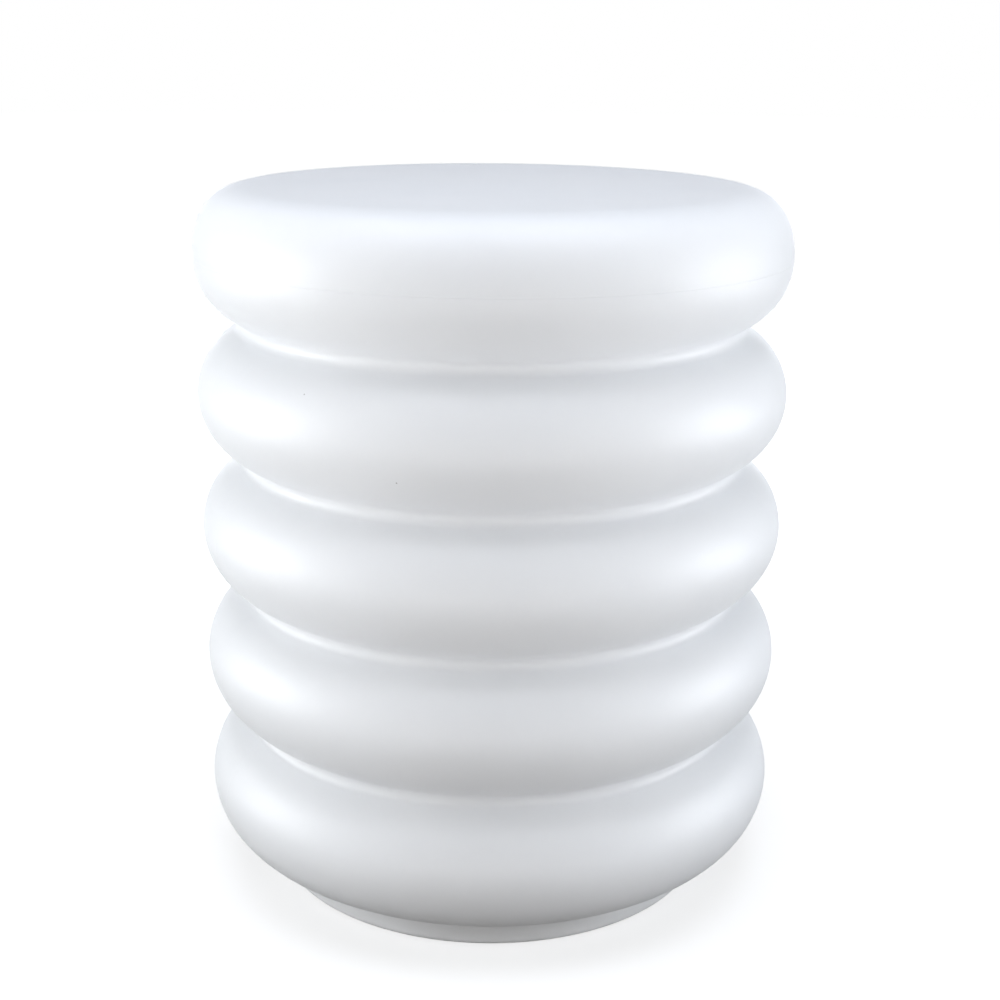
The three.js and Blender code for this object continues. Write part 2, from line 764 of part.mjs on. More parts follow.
const troughHalf = cellLength / 2 + fitGap;
const trayBlock = block(2 * trayHalfLength, 2 * trayHalfDepth, trayBottom, trayBottom + trayHeight);
const troughs = cellPlaces.map((y) =>
  disc(cellRadius + fitGap, -troughHalf, troughHalf, cellSides)
    .rotateY(Math.PI / 2)
    .translate(0, y, cellHeight));
const tray = cut(trayBlock.translate(0, batteryY, 0), ...troughs);
place(lampUnit, 'battery_holder', tray, blackPlastic);

const stripFront = trayFront - stripTab;
const stripRear = batteryY + ((cellCount - 1) * cellPitch) / 2 + nubRadius;
const stripBottom = cellHeight - stripHeight / 2;
const stripX = cellLength / 2 + fitGap + stripThickness / 2;
[stripX, -stripX].forEach((x, i) => {
  const strip = block(stripThickness, stripRear - stripFront, stripBottom, stripBottom + stripHeight);
  place(lampUnit, `nickel_strip_${i + 1}`, strip, nickel, [x, (stripRear + stripFront) / 2, 0]);
});

const strapSpan = 2 * (strapLeg + strapThickness);
const strapParts = [block(strapWidth, strapSpan, strapBottom, strapTop)];
for (const side of [-1, 1]) {
  const legY = side * (strapLeg + strapThickness / 2);
  const footY = side * (strapLeg + (strapThickness + strapFoot) / 2);
  const leg = block(strapWidth, strapThickness, strapFootBottom, strapTop);
  const footDepth = strapThickness + strapFoot;
  const foot = block(strapWidth, footDepth, strapFootBottom, strapFootBottom + strapThickness);
  strapParts.push(leg.translate(0, legY, 0), foot.translate(0, footY, 0));
}
const strapFootTop = strapFootBottom + strapThickness;
const strapHoles = strapScrewPlaces.map(([x, y]) =>
  through(postScrewRadius + fitGap, [x, y - batteryY], strapFootBottom, strapFootTop));
place(lampUnit, 'battery_strap', cut(join(...strapParts), ...strapHoles), blackPlastic,
  [0, batteryY, 0]);

const strapScrewLength = postScrewLength - strapThickness;
strapScrewPlaces.forEach(([x, y], i) => {
  const shape = screw(postScrewRadius, strapScrewLength);
  place(lampUnit, `strap_screw_${i + 1}`, shape, screwSteel, [x, y, strapFootTop + fitGap]);
});

// Leads inside the tub, from the connectors to the strips and up to the LED board

const wireRadius = 0.9;
const wirePitch = 2.4;
const wireSides = 8;
const wireSteps = 14;
const wireStraight = 2.5;
const wireStart = connectorY + connectorDepth / 2 + fitGap;
const wireLane = -laneOffset - laneWidth / 4;
const wireEnd = stripFront - fitGap;
const wireHeight = boardSeat + connectorHeight / 2;
const wireMiddle = (wireHeight + cellHeight) / 2;
const laneInShare = 0.6;
const laneOutShare = 0.88;

const positiveX = batteryPlugX + wirePitch / 2;
const positiveRoute = [
  [positiveX, wireStart, wireHeight],
  [positiveX, wireStart + wireStraight, wireHeight],
  [positiveX + 2 * wireStraight, wireLane, wireMiddle],
  [stripX * (1 - laneInShare), wireLane, cellHeight],
  [stripX * laneOutShare, wireLane, cellHeight],
  [stripX, wireEnd - wireStraight, cellHeight],
  [stripX, wireEnd, cellHeight],
];
const positiveLead = tube(positiveRoute, wireRadius, wireSides, wireSteps);
place(lampUnit, 'battery_lead_positive', positiveLead, redJacket);

const negativeX = batteryPlugX - wirePitch / 2;
const negativeRoute = [
  [negativeX, wireStart, wireHeight],
  [negativeX, wireStart + wireStraight, wireHeight],
  [-stripX * laneInShare, wireLane, wireMiddle],
  [-stripX * laneOutShare, wireLane, cellHeight],
  [-stripX, wireEnd - wireStraight, cellHeight],
  [-stripX, wireEnd, cellHeight],
];
const negativeLead = tube(negativeRoute, wireRadius, wireSides, wireSteps);
place(lampUnit, 'battery_lead_negative', negativeLead, blackJacket);

const ledLeadRadius = 1.3;
const ledRoute = [
  [leadX, wireStart, wireHeight],
  [leadX, wireStart + wireStraight / 2, wireHeight],
  [leadX, leadY, wireHeight + 2 * ledLeadRadius],
  [leadX, leadY, (wireHeight + ledBoardBottom) / 2 + ledLeadRadius],
  [leadX, leadY, ledBoardBottom - fitGap],
];
place(lampUnit, 'led_lead', tube(ledRoute, ledLeadRadius, wireSides, wireSteps), whiteJacket);

export default stool;
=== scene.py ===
"""A light-up stool: a hollow body of five moulded rings, with a sealed lamp unit screwed up into its underside.
Metres, +Z up, the front is -Y. The sections follow the stool as it is put together."""

import math

import bmesh
import bpy
from mathutils import Matrix, Vector


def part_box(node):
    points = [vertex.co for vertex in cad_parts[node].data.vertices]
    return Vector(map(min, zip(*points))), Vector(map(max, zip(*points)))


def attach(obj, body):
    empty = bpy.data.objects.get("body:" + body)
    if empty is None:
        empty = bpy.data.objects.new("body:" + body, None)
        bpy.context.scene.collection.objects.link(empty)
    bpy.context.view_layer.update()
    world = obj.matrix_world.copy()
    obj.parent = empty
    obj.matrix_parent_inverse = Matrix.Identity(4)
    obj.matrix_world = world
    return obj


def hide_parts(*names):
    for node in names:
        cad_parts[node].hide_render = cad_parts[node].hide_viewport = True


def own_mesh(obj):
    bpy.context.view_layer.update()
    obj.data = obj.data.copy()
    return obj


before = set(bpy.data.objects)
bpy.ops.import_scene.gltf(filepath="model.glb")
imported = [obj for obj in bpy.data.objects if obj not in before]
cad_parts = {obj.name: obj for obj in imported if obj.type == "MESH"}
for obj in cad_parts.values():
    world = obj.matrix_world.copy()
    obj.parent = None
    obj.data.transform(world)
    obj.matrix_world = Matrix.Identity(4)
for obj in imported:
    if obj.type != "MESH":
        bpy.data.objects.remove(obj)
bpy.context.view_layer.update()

# Moulded body
# One hollow piece of milky polyethylene, rotationally moulded with a 4 mm wall. Five round bellies meet in
# filleted grooves above a plain foot collar, and the crown turns over into a flat seat. The mould leaves a
# fine bead round the widest line of the top ring, and a seam down each side below it.

mm = 0.001
outer_radius = 180 * mm
ring_count = 5
ring_pitch = 82.8 * mm
groove_depth = 25.7 * mm
groove_fillet = 5 * mm
crown_reach = 33.7 * mm
crown_rise = 39.5 * mm
crown_power = 2.26
body_wall = 4 * mm
foot_height = 19.6 * mm
foot_width = 18.8 * mm
foot_fillet = 3.6 * mm
foot_joint_fillet = 1.4 * mm
recess_depth = 26 * mm
recess_margin = 16 * mm
recess_fillet = 1.5 * mm
opening_radius = 87.98 * mm
opening_edge = 0.6 * mm
seam_azimuth = math.radians(206)
body_steps = 224

belly_radius = (groove_depth**2 + (ring_pitch / 2) ** 2) / (2 * groove_depth) - groove_fillet
belly_centre = outer_radius - belly_radius
groove_centre = outer_radius - groove_depth + groove_fillet
tangent_angle = math.asin(ring_pitch / 2 / (belly_radius + groove_fillet))
lowest_centre = foot_height + belly_radius
highest_centre = lowest_centre + (ring_count - 1) * ring_pitch
recess_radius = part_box("lamp_tub")[1].x + recess_margin
collar_radius = recess_radius + foot_width


def maths(operation, *values):
    """A Math node in the tree that its values come from."""
    tree = next(value.tree for value in values if isinstance(value, Wire))
    return put(tree, "Math", dict(enumerate(values)), operation=operation)


def sign(operation):
    """What an arithmetic sign does with a wire before it, and with one after it."""
    return (lambda a, b: maths(operation, a, b)), (lambda a, b: maths(operation, b, a))


class Wire:
    """What comes out of a node. Arithmetic on it adds Math nodes, so that wire * 2 is a Multiply node."""

    __add__, __radd__ = sign("ADD")
    __sub__, __rsub__ = sign("SUBTRACT")
    __mul__, __rmul__ = sign("MULTIPLY")
    __truediv__, __rtruediv__ = sign("DIVIDE")
    __mod__ = sign("MODULO")[0]
    __pow__ = sign("POWER")[0]
    __lt__ = sign("LESS_THAN")[0]
    __gt__ = sign("GREATER_THAN")[0]

    def __init__(self, socket):
        self.socket, self.tree = socket, socket.id_data

    def __abs__(self):
        return maths("ABSOLUTE", self)

    def __getitem__(self, key):
        """Another output of the same node."""
        return Wire(self.socket.node.outputs[key])


def put(tree, kind, values=None, **settings):
    """Adds a node, such as a Math or a MeshCube, and gives its first output."""
    lead = next(lead for lead in ("ShaderNode", "GeometryNode", "FunctionNode", "") if hasattr(bpy.types, lead + kind))
    node = tree.nodes.new(lead + kind)
    for key, value in settings.items():
        setattr(node, key, value)
    feed(node, values or {})
    return Wire(node.outputs[0]) if node.outputs else None


def feed(node, values):
    """Gives a node's inputs their numbers, or the wires that lead to them. A vector may hold both."""
    for key, value in values.items():
        if isinstance(value, tuple) and any(isinstance(part, Wire) for part in value):
            value = put(node.id_data, "CombineXYZ", dict(enumerate(value)))
        for one in value if isinstance(value, list) else [value]:
            if isinstance(one, Wire):
                node.id_data.links.new(one.socket, node.inputs[key])
            else:
                node.inputs[key].default_value = one


def axes(vector):
    """The X, Y and Z of a vector."""
    split = put(vector.tree, "SeparateXYZ", {0: vector})
    return split["X"], split["Y"], split["Z"]


def node_group(name, kind, inputs, outputs):
    """A node group, with the names of its sockets by what they carry. Gives the group, then each input."""
    group = bpy.data.node_groups.new(name, kind)
    for way, sockets in (("INPUT", inputs), ("OUTPUT", outputs)):
        for carried, labels in sockets.items():
            for label in labels.split(", "):
                group.interface.new_socket(label, in_out=way, socket_type="NodeSocket" + carried)
    given = group.nodes.new("NodeGroupInput").outputs
    return group, *(Wire(socket) for socket in given if socket.name)


def shape_tree(name, materials="Material", **inputs):
    """A Geometry Nodes tree with named inputs, the last one the material it sets."""
    shape = {"Geometry": "Geometry"}
    return node_group(name, "GeometryNodeTree", shape | inputs | {"Material": materials}, shape)


def painted(shape, material):
    return put(shape.tree, "SetMaterial", {"Geometry": shape, "Material": material})


def close_tree(shape, material=None):
    """Ends a tree in Realize Instances, and in Set Material where its parts aren't painted yet."""
    shape = put(shape.tree, "RealizeInstances", {"Geometry": shape})
    put(shape.tree, "NodeGroupOutput", {0: painted(shape, material) if material else shape})


def moved(shape, at=(0, 0, 0), turn=(0, 0, 0)):
    return put(shape.tree, "Transform", {"Geometry": shape, "Translation": at, "Rotation": turn})


def together(*shapes):
    return put(shapes[0].tree, "JoinGeometry", {"Geometry": list(shapes)})


def copies(points, shape, turn=(0, 0, 0)):
    return put(points.tree, "InstanceOnPoints", {"Points": points, "Instance": shape, "Rotation": turn})


def placed(shape, spot):
    """Sets every point of a shape at a spot of its own, and closes what meets."""
    shape = put(shape.tree, "SetPosition", {"Geometry": shape, "Position": spot})
    return put(shape.tree, "MergeByDistance", {"Geometry": shape, "Distance": 2e-6})


def turning_nodes(outline, steps):
    """Turns a row of points in the XZ plane about Z, and closes the seam and the poles."""
    tree = outline.tree
    rows = put(tree, "AttributeDomainSize", {0: outline}, component="MESH")["Point Count"]
    grid = put(tree, "MeshGrid", {"Vertices X": steps + 1, "Vertices Y": rows})
    index = put(tree, "InputIndex")
    column = maths("FLOOR", (index + 0.5) / rows)
    row = {"Geometry": outline, "Value": put(tree, "InputPosition"), "Index": index - column * rows}
    across, _, up = axes(put(tree, "SampleIndex", row, data_type="FLOAT_VECTOR", domain="POINT"))
    angle = column / steps * (2 * math.pi)
    return placed(grid, (across * maths("COSINE", angle), across * maths("SINE", angle), up))


def clean(mesh, sharp_degrees=34):
    """Closes doubles, turns the faces outwards, and shades smooth except across real edges."""
    work = bmesh.new()
    work.from_mesh(mesh)
    bmesh.ops.remove_doubles(work, verts=work.verts, dist=1e-6)
    bmesh.ops.recalc_face_normals(work, faces=work.faces)
    for face in work.faces:
        face.smooth = True
    for edge in work.edges:
        edge.smooth = len(edge.link_faces) == 2 and edge.calc_face_angle(0) < math.radians(sharp_degrees)
    work.to_mesh(mesh)
    work.free()
    mesh.update()


def plain_object(name, data):
    piece = bpy.data.objects.new(name, data)
    bpy.context.scene.collection.objects.link(piece)
    return piece


def baked(piece):
    """Turns an object's modifiers into its plain, clean mesh."""
    bpy.context.view_layer.update()
    mesh = bpy.data.meshes.new_from_object(piece.evaluated_get(bpy.context.evaluated_depsgraph_get()))
    piece.modifiers.clear()
    piece.data = mesh
    mesh.name = piece.name
    # A tree can leave an empty slot ahead of the materials it sets
    given = [i for i, material in enumerate(mesh.materials) if material]
    kept = [mesh.materials[i] for i in given]
    order = [given.index(face.material_index) if face.material_index in given else 0 for face in mesh.polygons]
    mesh.materials.clear()
    for material in kept:
        mesh.materials.append(material)
    mesh.polygons.foreach_set("material_index", order)
    return piece


def grown(name, points, tree, attributes=None, at=(0, 0, 0), **values):
    """The plain mesh that a tree makes of a few points, with its named inputs set, moved to its place."""
    mesh = bpy.data.meshes.new(name)
    mesh.from_pydata(points, [], [])
    for label, numbers in (attributes or {}).items():
        mesh.attributes.new(label, "FLOAT", "POINT").data.foreach_set("value", numbers)
    piece = plain_object(name, mesh)
    modifier = piece.modifiers.new(tree.name, "NODES")
    modifier.node_group = tree
    for item in tree.interface.items_tree:
        key = item.name.lower().replace(" ", "_")
        if item.in_out == "INPUT" and key in values:
            modifier[item.identifier] = values[key]
    clean(baked(piece).data)
    piece.data.transform(Matrix.Translation(at))
    return piece


def settle(piece, slot, *stands_for, body="stool"):
    """Hands a finished piece to its body and hides the solids that it stands for. The slot argument, the finish it
    takes, is not used.
    """
    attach(piece, body)
    if stands_for:
        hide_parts(*stands_for)


def arc(centre, height, radius, start, end, steps):
    angles = [start + (end - start) * i / steps for i in range(steps + 1)]
    return [(centre + radius * math.cos(a), height + radius * math.sin(a)) for a in angles]


def foot_angle(depth):
    """Where the lowest belly meets the collar, for the skin or for a surface so deep under it."""
    reach = (collar_radius - depth - belly_centre) / (belly_radius - depth)
    return -math.acos(min(max(reach, 0), 1))


def crown(depth, height, steps):
    points = []
    for i in range(1, steps + 1):
        angle = math.pi / 2 * i / steps
        across = (crown_reach - depth) * abs(math.cos(angle)) ** (2 / crown_power)
        up = (crown_rise - depth) * math.sin(angle) ** (2 / crown_power)
        points.append((outer_radius - crown_reach + across, height + up))
    return points


def lowest_belly(depth, steps):
    start = foot_angle(depth)
    if not depth:
        start += foot_joint_fillet / belly_radius
    return arc(belly_centre, lowest_centre, belly_radius - depth, start, tangent_angle, steps)


def one_ring(depth, steps, groove_steps, end_angle):
    """A groove and the belly over it, drawn at the height of the lowest ring."""
    turn = math.pi + tangent_angle, math.pi - tangent_angle
    middle = lowest_centre - ring_pitch / 2
    hollow = arc(groove_centre, middle, groove_fillet + depth, *turn, groove_steps)
    return hollow[1:-1] + arc(belly_centre, lowest_centre, belly_radius - depth, -tangent_angle, end_angle, steps)


def flat_seat(height, steps):
    edge = outer_radius - crown_reach
    return [(edge * (1 - i / steps), height) for i in range(1, steps + 1)]


recess_ease = 0.45 * mm
foot_outline = [
    (opening_radius, recess_depth + opening_edge),
    (opening_radius + opening_edge, recess_depth),
    (recess_radius - recess_fillet, recess_depth),
    (recess_radius - recess_ease, recess_depth - recess_ease),
    (recess_radius, recess_depth - recess_fillet),
    *arc(recess_radius + foot_fillet, foot_fillet, foot_fillet, math.pi, 1.5 * math.pi, 8),
    *arc(collar_radius - foot_fillet, foot_fillet, foot_fillet, -math.pi / 2, 0, 8),
    *arc(collar_radius + foot_joint_fillet, foot_height - foot_joint_fillet, foot_joint_fillet,
         math.pi, math.pi / 2, 5),
]
seat_height = lowest_centre + crown_rise
inner_seat = seat_height - body_wall
inner_foot = [
    (collar_radius - body_wall, lowest_centre + (belly_radius - body_wall) * math.sin(foot_angle(body_wall))),
    (collar_radius - body_wall, body_wall),
    (recess_radius + body_wall, body_wall),
    (recess_radius + body_wall, recess_depth + body_wall),
    (opening_radius, recess_depth + body_wall),
    foot_outline[0],
]
outer_top = one_ring(0, 16, 10, 0) + crown(0, lowest_centre, 40) + flat_seat(seat_height, 10)
inner_top = one_ring(body_wall, 6, 6, 0) + crown(body_wall, lowest_centre, 14) + flat_seat(inner_seat, 4)

# Each run of points stays at the foot, repeats with each ring or sits on top. The outer runs climb in the order
# of the outline, and the inner runs come down again after them.
at_foot, repeats, on_top = 0, 1, 2
up, down = 1, -1
first_inner = 1e5
body_runs = [
    (foot_outline + lowest_belly(0, 26), at_foot, 0, up),
    (one_ring(0, 30, 10, tangent_angle), repeats, 0, up),
    (outer_top, on_top, 0, up),
    (inner_top[::-1], on_top, first_inner, down),
    (one_ring(body_wall, 10, 6, tangent_angle)[::-1], repeats, first_inner, down),
    (lowest_belly(body_wall, 8)[::-1] + inner_foot, at_foot, first_inner, down),
]
body_points = []
body_marks = {"stay": [], "order": [], "climb": []}
for run, stay, first, climb in body_runs:
    for i, (radius, height) in enumerate(run):
        body_points.append((radius, 0, height))
        for label, value in (("stay", stay), ("order", first + i), ("climb", climb)):
            body_marks[label].append(value)

ring_tree, points, pitch, count, steps, material = shape_tree(
    "ring_stack", Float="Ring Pitch", Int="Ring Count, Steps Round")


def mark(label):
    return put(ring_tree, "InputNamedAttribute", {"Name": label}, data_type="FLOAT")["Attribute"]


def picked(stay):
    chosen = maths("COMPARE", mark("stay"), stay, 0.1)
    return put(ring_tree, "SeparateGeometry", {"Geometry": points, "Selection": chosen})


def numbered(shape, value):
    values = {"Geometry": shape, "Name": "ring", "Value": value}
    return put(ring_tree, "StoreNamedAttribute", values, data_type="FLOAT", domain="POINT")


rise = (0, 0, pitch)
levels = put(ring_tree, "MeshLine", {"Count": count - 2, "Start Location": rise, "Offset": rise})
levels = numbered(levels, put(ring_tree, "InputIndex") + 1)
middle = put(ring_tree, "RealizeInstances", {"Geometry": copies(levels, picked(repeats))})
top = numbered(moved(picked(on_top), (0, 0, (count - 1) * pitch)), count - 1)
order = mark("order") + mark("ring") * mark("climb") * 1000
outline = put(ring_tree, "SortElements", {
    "Geometry": together(picked(at_foot), middle, top), "Sort Weight": order}, domain="POINT")
close_tree(turning_nodes(outline, steps), material)


def object_place(tree):
    return put(tree, "TexCoord")["Object"]


def noise(tree, scale, detail=3.0, rough=0.5, vector=None):
    here = vector or object_place(tree)
    return put(tree, "TexNoise", {"Vector": here, "Scale": scale, "Detail": detail, "Roughness": rough})["Fac"]


def between(value, low, high, to_low=0.0, to_high=1.0, kind="LINEAR"):
    """A value carried from one range to another and kept inside it."""
    values = {"Value": value, "From Min": low, "From Max": high, "To Min": to_low, "To Max": to_high}
    return put(value.tree, "MapRange", values, interpolation_type=kind)


def blend_colors(share, first, second):
    """The Mix node's colour sockets have no names of their own, only numbers."""
    return put(share.tree, "Mix", {0: share, 6: first, 7: second}, data_type="RGBA")[2]


# The grain of a moulded or cast surface: fine relief, with broad faint patches of colour and gloss
grain_group, color, patch_color, patch_size, roughness, roughness_spread, grain_size = node_group(
    "moulded_grain", "ShaderNodeTree",
    {"Color": "Color, Patch Color", "Float": "Patch Size, Roughness, Roughness Spread, Grain Size"},
    {"Color": "Color", "Float": "Roughness, Height"})
patches = noise(grain_group, 1 / patch_size, 4, 0.55)
fine = noise(grain_group, 1 / grain_size, 2, 0.6)
put(grain_group, "NodeGroupOutput", {
    "Color": blend_colors(between(patches, 0.35, 0.7, 0, 1, "SMOOTHSTEP"), color, patch_color),
    "Roughness": roughness + ((patches - 0.5) * roughness_spread + (fine - 0.5) * roughness_spread),
    "Height": fine})

# Fine rub marks: short scratches in all directions, thin and sparse, that break up the gloss
rub_group, mark_size, amount = node_group(
    "rub_marks", "ShaderNodeTree", {"Float": "Mark Size, Amount"}, {"Float": "Mask"})
streaks = []
for turn in (0.4, 1.7, 2.9):
    turned_to = put(rub_group, "Mapping", {
        "Vector": object_place(rub_group), "Rotation": (turn, turn * 1.3, turn * 0.7), "Scale": (1, 14, 14)})
    streaks.append(between(noise(rub_group, 1 / mark_size, 3, 0.5, turned_to), 0.66, 0.74))
marks = maths("MAXIMUM", maths("MAXIMUM", *streaks[:2]), streaks[2])
put(rub_group, "NodeGroupOutput", {"Mask": marks * amount})


def nodes_of(material):
    """The tree, the shader and the bump of a grained material."""
    nodes = material.node_tree.nodes
    return material.node_tree, nodes["Principled BSDF"], nodes["Bump"]


def fed(node, key):
    """What leads into an input already."""
    return Wire(node.inputs[key].links[0].from_socket)


def grained(name, color, patch, roughness, grain_size, relief, spread=0.08, patch_size=50, metallic=0.0, rubs=0.3,
            rub_size=20):
    """A material with grain, patches and rub marks. Their sizes and the grain's relief are in millimetres."""
    material = bpy.data.materials.new(name)
    material.use_nodes = True
    tree = material.node_tree
    grain = put(tree, "Group", {
        "Color": (*color, 1), "Patch Color": (*patch, 1), "Patch Size": patch_size * mm,
        "Roughness": roughness, "Roughness Spread": spread, "Grain Size": grain_size * mm}, node_tree=grain_group)
    rub = put(tree, "Group", {"Mark Size": rub_size * mm, "Amount": rubs}, node_tree=rub_group)
    feed(tree.nodes["Principled BSDF"], {
        "Metallic": metallic, "Base Color": grain, "Roughness": grain["Roughness"] + rub * 0.25,
        "Normal": put(tree, "Bump", {"Height": grain["Height"], "Distance": relief * mm, "Strength": 1.0})})
    return material


def over_color(material, mask, color):
    """Lays a colour over the material's own where the mask is 1."""
    shader = nodes_of(material)[1]
    feed(shader, {"Base Color": blend_colors(mask, fed(shader, "Base Color"), (*color, 1))})


body_plastic = grained("body_plastic", (0.87, 0.883, 0.905), (0.855, 0.87, 0.895), 0.47, 0.9, 0.012, 0.07, 90,
                       rubs=0.2, rub_size=30)
tree, shader, bump = nodes_of(body_plastic)
feed(shader, {"IOR": 1.51, "Subsurface Weight": 0.8, "Subsurface Radius": (1.0, 1.0, 1.0),
              "Subsurface Scale": 12 * mm})
here = object_place(tree)
x, y, z = axes(here)
# The skin copies the mould's slight waviness, and the flat seat has shallow ripples across it
stretched = put(tree, "Mapping", {"Vector": here, "Scale": (9, 46, 20)})
ripples = noise(tree, 1.0, 3, 0.55, stretched) * between(z, seat_height - 1 * mm, seat_height - 0.1 * mm)
waves = noise(tree, 1 / (26 * mm), 2, 0.5) + ripples * 1.2
# The bead and the side seams stand a tenth of a millimetre proud, the seams in one upright plane
off_plane = abs(x * math.sin(seam_azimuth) - y * math.cos(seam_azimuth))
seam = between(off_plane, 0.0, 0.9 * mm, 1, 0, "SMOOTHSTEP")
bead = between(abs(z - highest_centre), 0.0, 0.6 * mm, 1, 0, "SMOOTHSTEP")
below_bead = between(z, highest_centre, highest_centre + 0.4 * mm, 1, 0)
outside = between(maths("SQRT", x**2 + y**2), 118 * mm, 119 * mm)
seam = maths("MAXIMUM", seam * below_bead, bead) * outside
relief = waves * (0.10 * mm) + seam * (0.12 * mm) + fed(bump, "Height") * (0.010 * mm)
feed(bump, {"Height": relief, "Distance": 1.0})
# A few dark specks are caught in the resin
cells = put(tree, "TexVoronoi", {"Vector": here, "Scale": 1 / (24 * mm), "Randomness": 1.0})
speck_size = between(put(tree, "SeparateColor", {0: cells["Color"]}), 0.4, 1.0, 0.0, 0.025)
over_color(body_plastic, (cells["Distance"] < speck_size) * 0.6, (0.22, 0.20, 0.18))
# Painted shade: the bottom edge of the foot, where it meets the floor, is darkened in uneven blotches
low_down = between(z, 0.2 * mm, 3.2 * mm, 1, 0, "SMOOTHSTEP")
painted_foot_shade = between(noise(tree, 1 / (9 * mm), 4, 0.6), 0.4, 0.7, 0.05, 0.4)
over_color(body_plastic, low_down * painted_foot_shade, (0.42, 0.41, 0.40))

body = grown("moulded_body", body_points, ring_tree, body_marks, ring_pitch=ring_pitch, ring_count=ring_count,
             steps_round=body_steps, material=body_plastic)


def as_mesh(work, name):
    mesh = bpy.data.meshes.new(name)
    work.to_mesh(mesh)
    work.free()
    return mesh


def rods(*rows):
    """One mesh of upright round rods. A row is their places, and their radius, bottom and top."""
    work = bmesh.new()
    for places, radius, bottom, top in rows:
        for x, y in places:
            bmesh.ops.create_cone(work, cap_ends=True, segments=32, radius1=radius, radius2=radius,
                                  depth=top - bottom, matrix=Matrix.Translation((x, y, (bottom + top) / 2)))
    return as_mesh(work, "rods")


def carve(piece, operation, cutter):
    """Joins a mesh to a piece or cuts it away."""
    tool = plain_object("carver", cutter)
    modifier = piece.modifiers.new("carve", "BOOLEAN")
    modifier.operation = operation
    modifier.solver = "EXACT"
    modifier.object = tool
    baked(piece)
    bpy.data.objects.remove(tool)
    clean(piece.data)


def row_of(stem, count):
    """The names of solids that are numbered from 1."""
    return [f"{stem}_{i}" for i in range(1, count + 1)]


def middle_of(node):
    low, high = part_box(node)
    return (low.x + high.x) / 2, (low.y + high.y) / 2


def middles(stem, count):
    return [middle_of(name) for name in row_of(stem, count)]


screw_places = middles("flange_screw", 6)
insert_low, insert_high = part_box("thread_insert_1")
insert_radius = (insert_high.x - insert_low.x) / 2
boss_radius = 7 * mm
boss_bottom = recess_depth + body_wall - 0.8 * mm
boss_top = insert_high.z + 3.6 * mm
hole_bottom, hole_top = recess_depth - 1 * mm, insert_high.z + 0.3 * mm
carve(body, "UNION", rods((screw_places, boss_radius, boss_bottom, boss_top)))
carve(body, "DIFFERENCE", rods((screw_places, insert_radius + 0.3 * mm, hole_bottom, hole_top)))
settle(body, "body_plastic", "shell")

# Threaded inserts
# Six knurled brass sleeves, pressed into blind holes in the bosses over the ledge. The flange screws thread into
# them, because a screw would strip the soft polyethylene.


def cut(shape, tools):
    return put(shape.tree, "MeshBoolean", {"Mesh 1": shape, "Mesh 2": tools}, operation="DIFFERENCE")


def rod(tree, sides, radius, length):
    return put(tree, "MeshCylinder", {"Vertices": sides, "Radius": radius, "Depth": length})


tree, points, outer, bore, length, teeth, material = shape_tree(
    "knurled_sleeves", Float="Outer Radius, Bore Radius, Length", Int="Teeth")
outside = put(tree, "MeshCylinder", {"Vertices": teeth * 2, "Side Segments": 6, "Radius": outer, "Depth": length})
place = put(tree, "InputPosition")
on_knurl = maths("COMPARE", abs(axes(place)[2] / length), 0.25, 0.12)
narrow = 1 - put(tree, "InputIndex") % 2 * on_knurl * 0.08
spot = put(tree, "VectorMath", {0: place, 1: (narrow, narrow, 1.0)}, operation="MULTIPLY")
outside = put(tree, "SetPosition", {"Geometry": outside, "Position": spot})
close_tree(copies(points, cut(outside, rod(tree, 24, bore, length * 1.2))), material)

brass = grained("brass", (0.72, 0.52, 0.22), (0.64, 0.45, 0.18), 0.32, 0.4, 0.004, 0.1, 6, metallic=1.0)
insert_middle = (insert_low.z + insert_high.z) / 2
inserts = grown("thread_inserts", [(x, y, insert_middle) for x, y in screw_places], tree,
                outer_radius=insert_radius, bore_radius=2.3 * mm, length=insert_high.z - insert_low.z, teeth=16,
                material=brass)
settle(inserts, "brass", *row_of("thread_insert", 6))

# Lamp tub
# The injection-moulded base of the lamp unit: a floor with a flange that closes the opening, a round wall that
# stands up in it, and posts for the board, the battery strap and the LED carrier.

turned_tree, points, steps, material = shape_tree("turned_piece", Int="Steps Round")
close_tree(turning_nodes(points, steps), material)


def eased(corners, steps=4):
    """Rounds the corners of an outline. A corner is radius, height and, if rounded, how far in millimetres."""
    points = []
    for i, corner in enumerate(corners):
        here = Vector(corner[:2])
        if len(corner) < 3:
            points.append(tuple(here))
            continue
        back = (Vector(corners[i - 1][:2]) - here).normalized()
        ahead = (Vector(corners[(i + 1) % len(corners)][:2]) - here).normalized()
        half, ease = back.angle(ahead) / 2, corner[2] * mm
        centre = here + (back + ahead).normalized() * (ease / math.sin(half))
        first, last = (math.atan2(edge.y - centre.y, edge.x - centre.x) for edge in (
            here + way * (ease / math.tan(half)) for way in (back, ahead)))
        sweep = (last - first + math.pi) % (2 * math.pi) - math.pi
        points += arc(centre.x, centre.y, ease, first, first + sweep, steps)
    return points


def turned(name, corners, material, steps=96, at=(0, 0), corner_steps=4):
    """A piece turned about an upright axis. An outline that doesn't end on the axis is closed."""
    row = [(radius, 0, height) for radius, height in eased(corners, corner_steps)]
    if max(row[0][0], row[-1][0]) > 1e-7:
        row.append(row[0])
    return grown(name, row, turned_tree, at=(*at, 0), steps_round=steps, material=material)


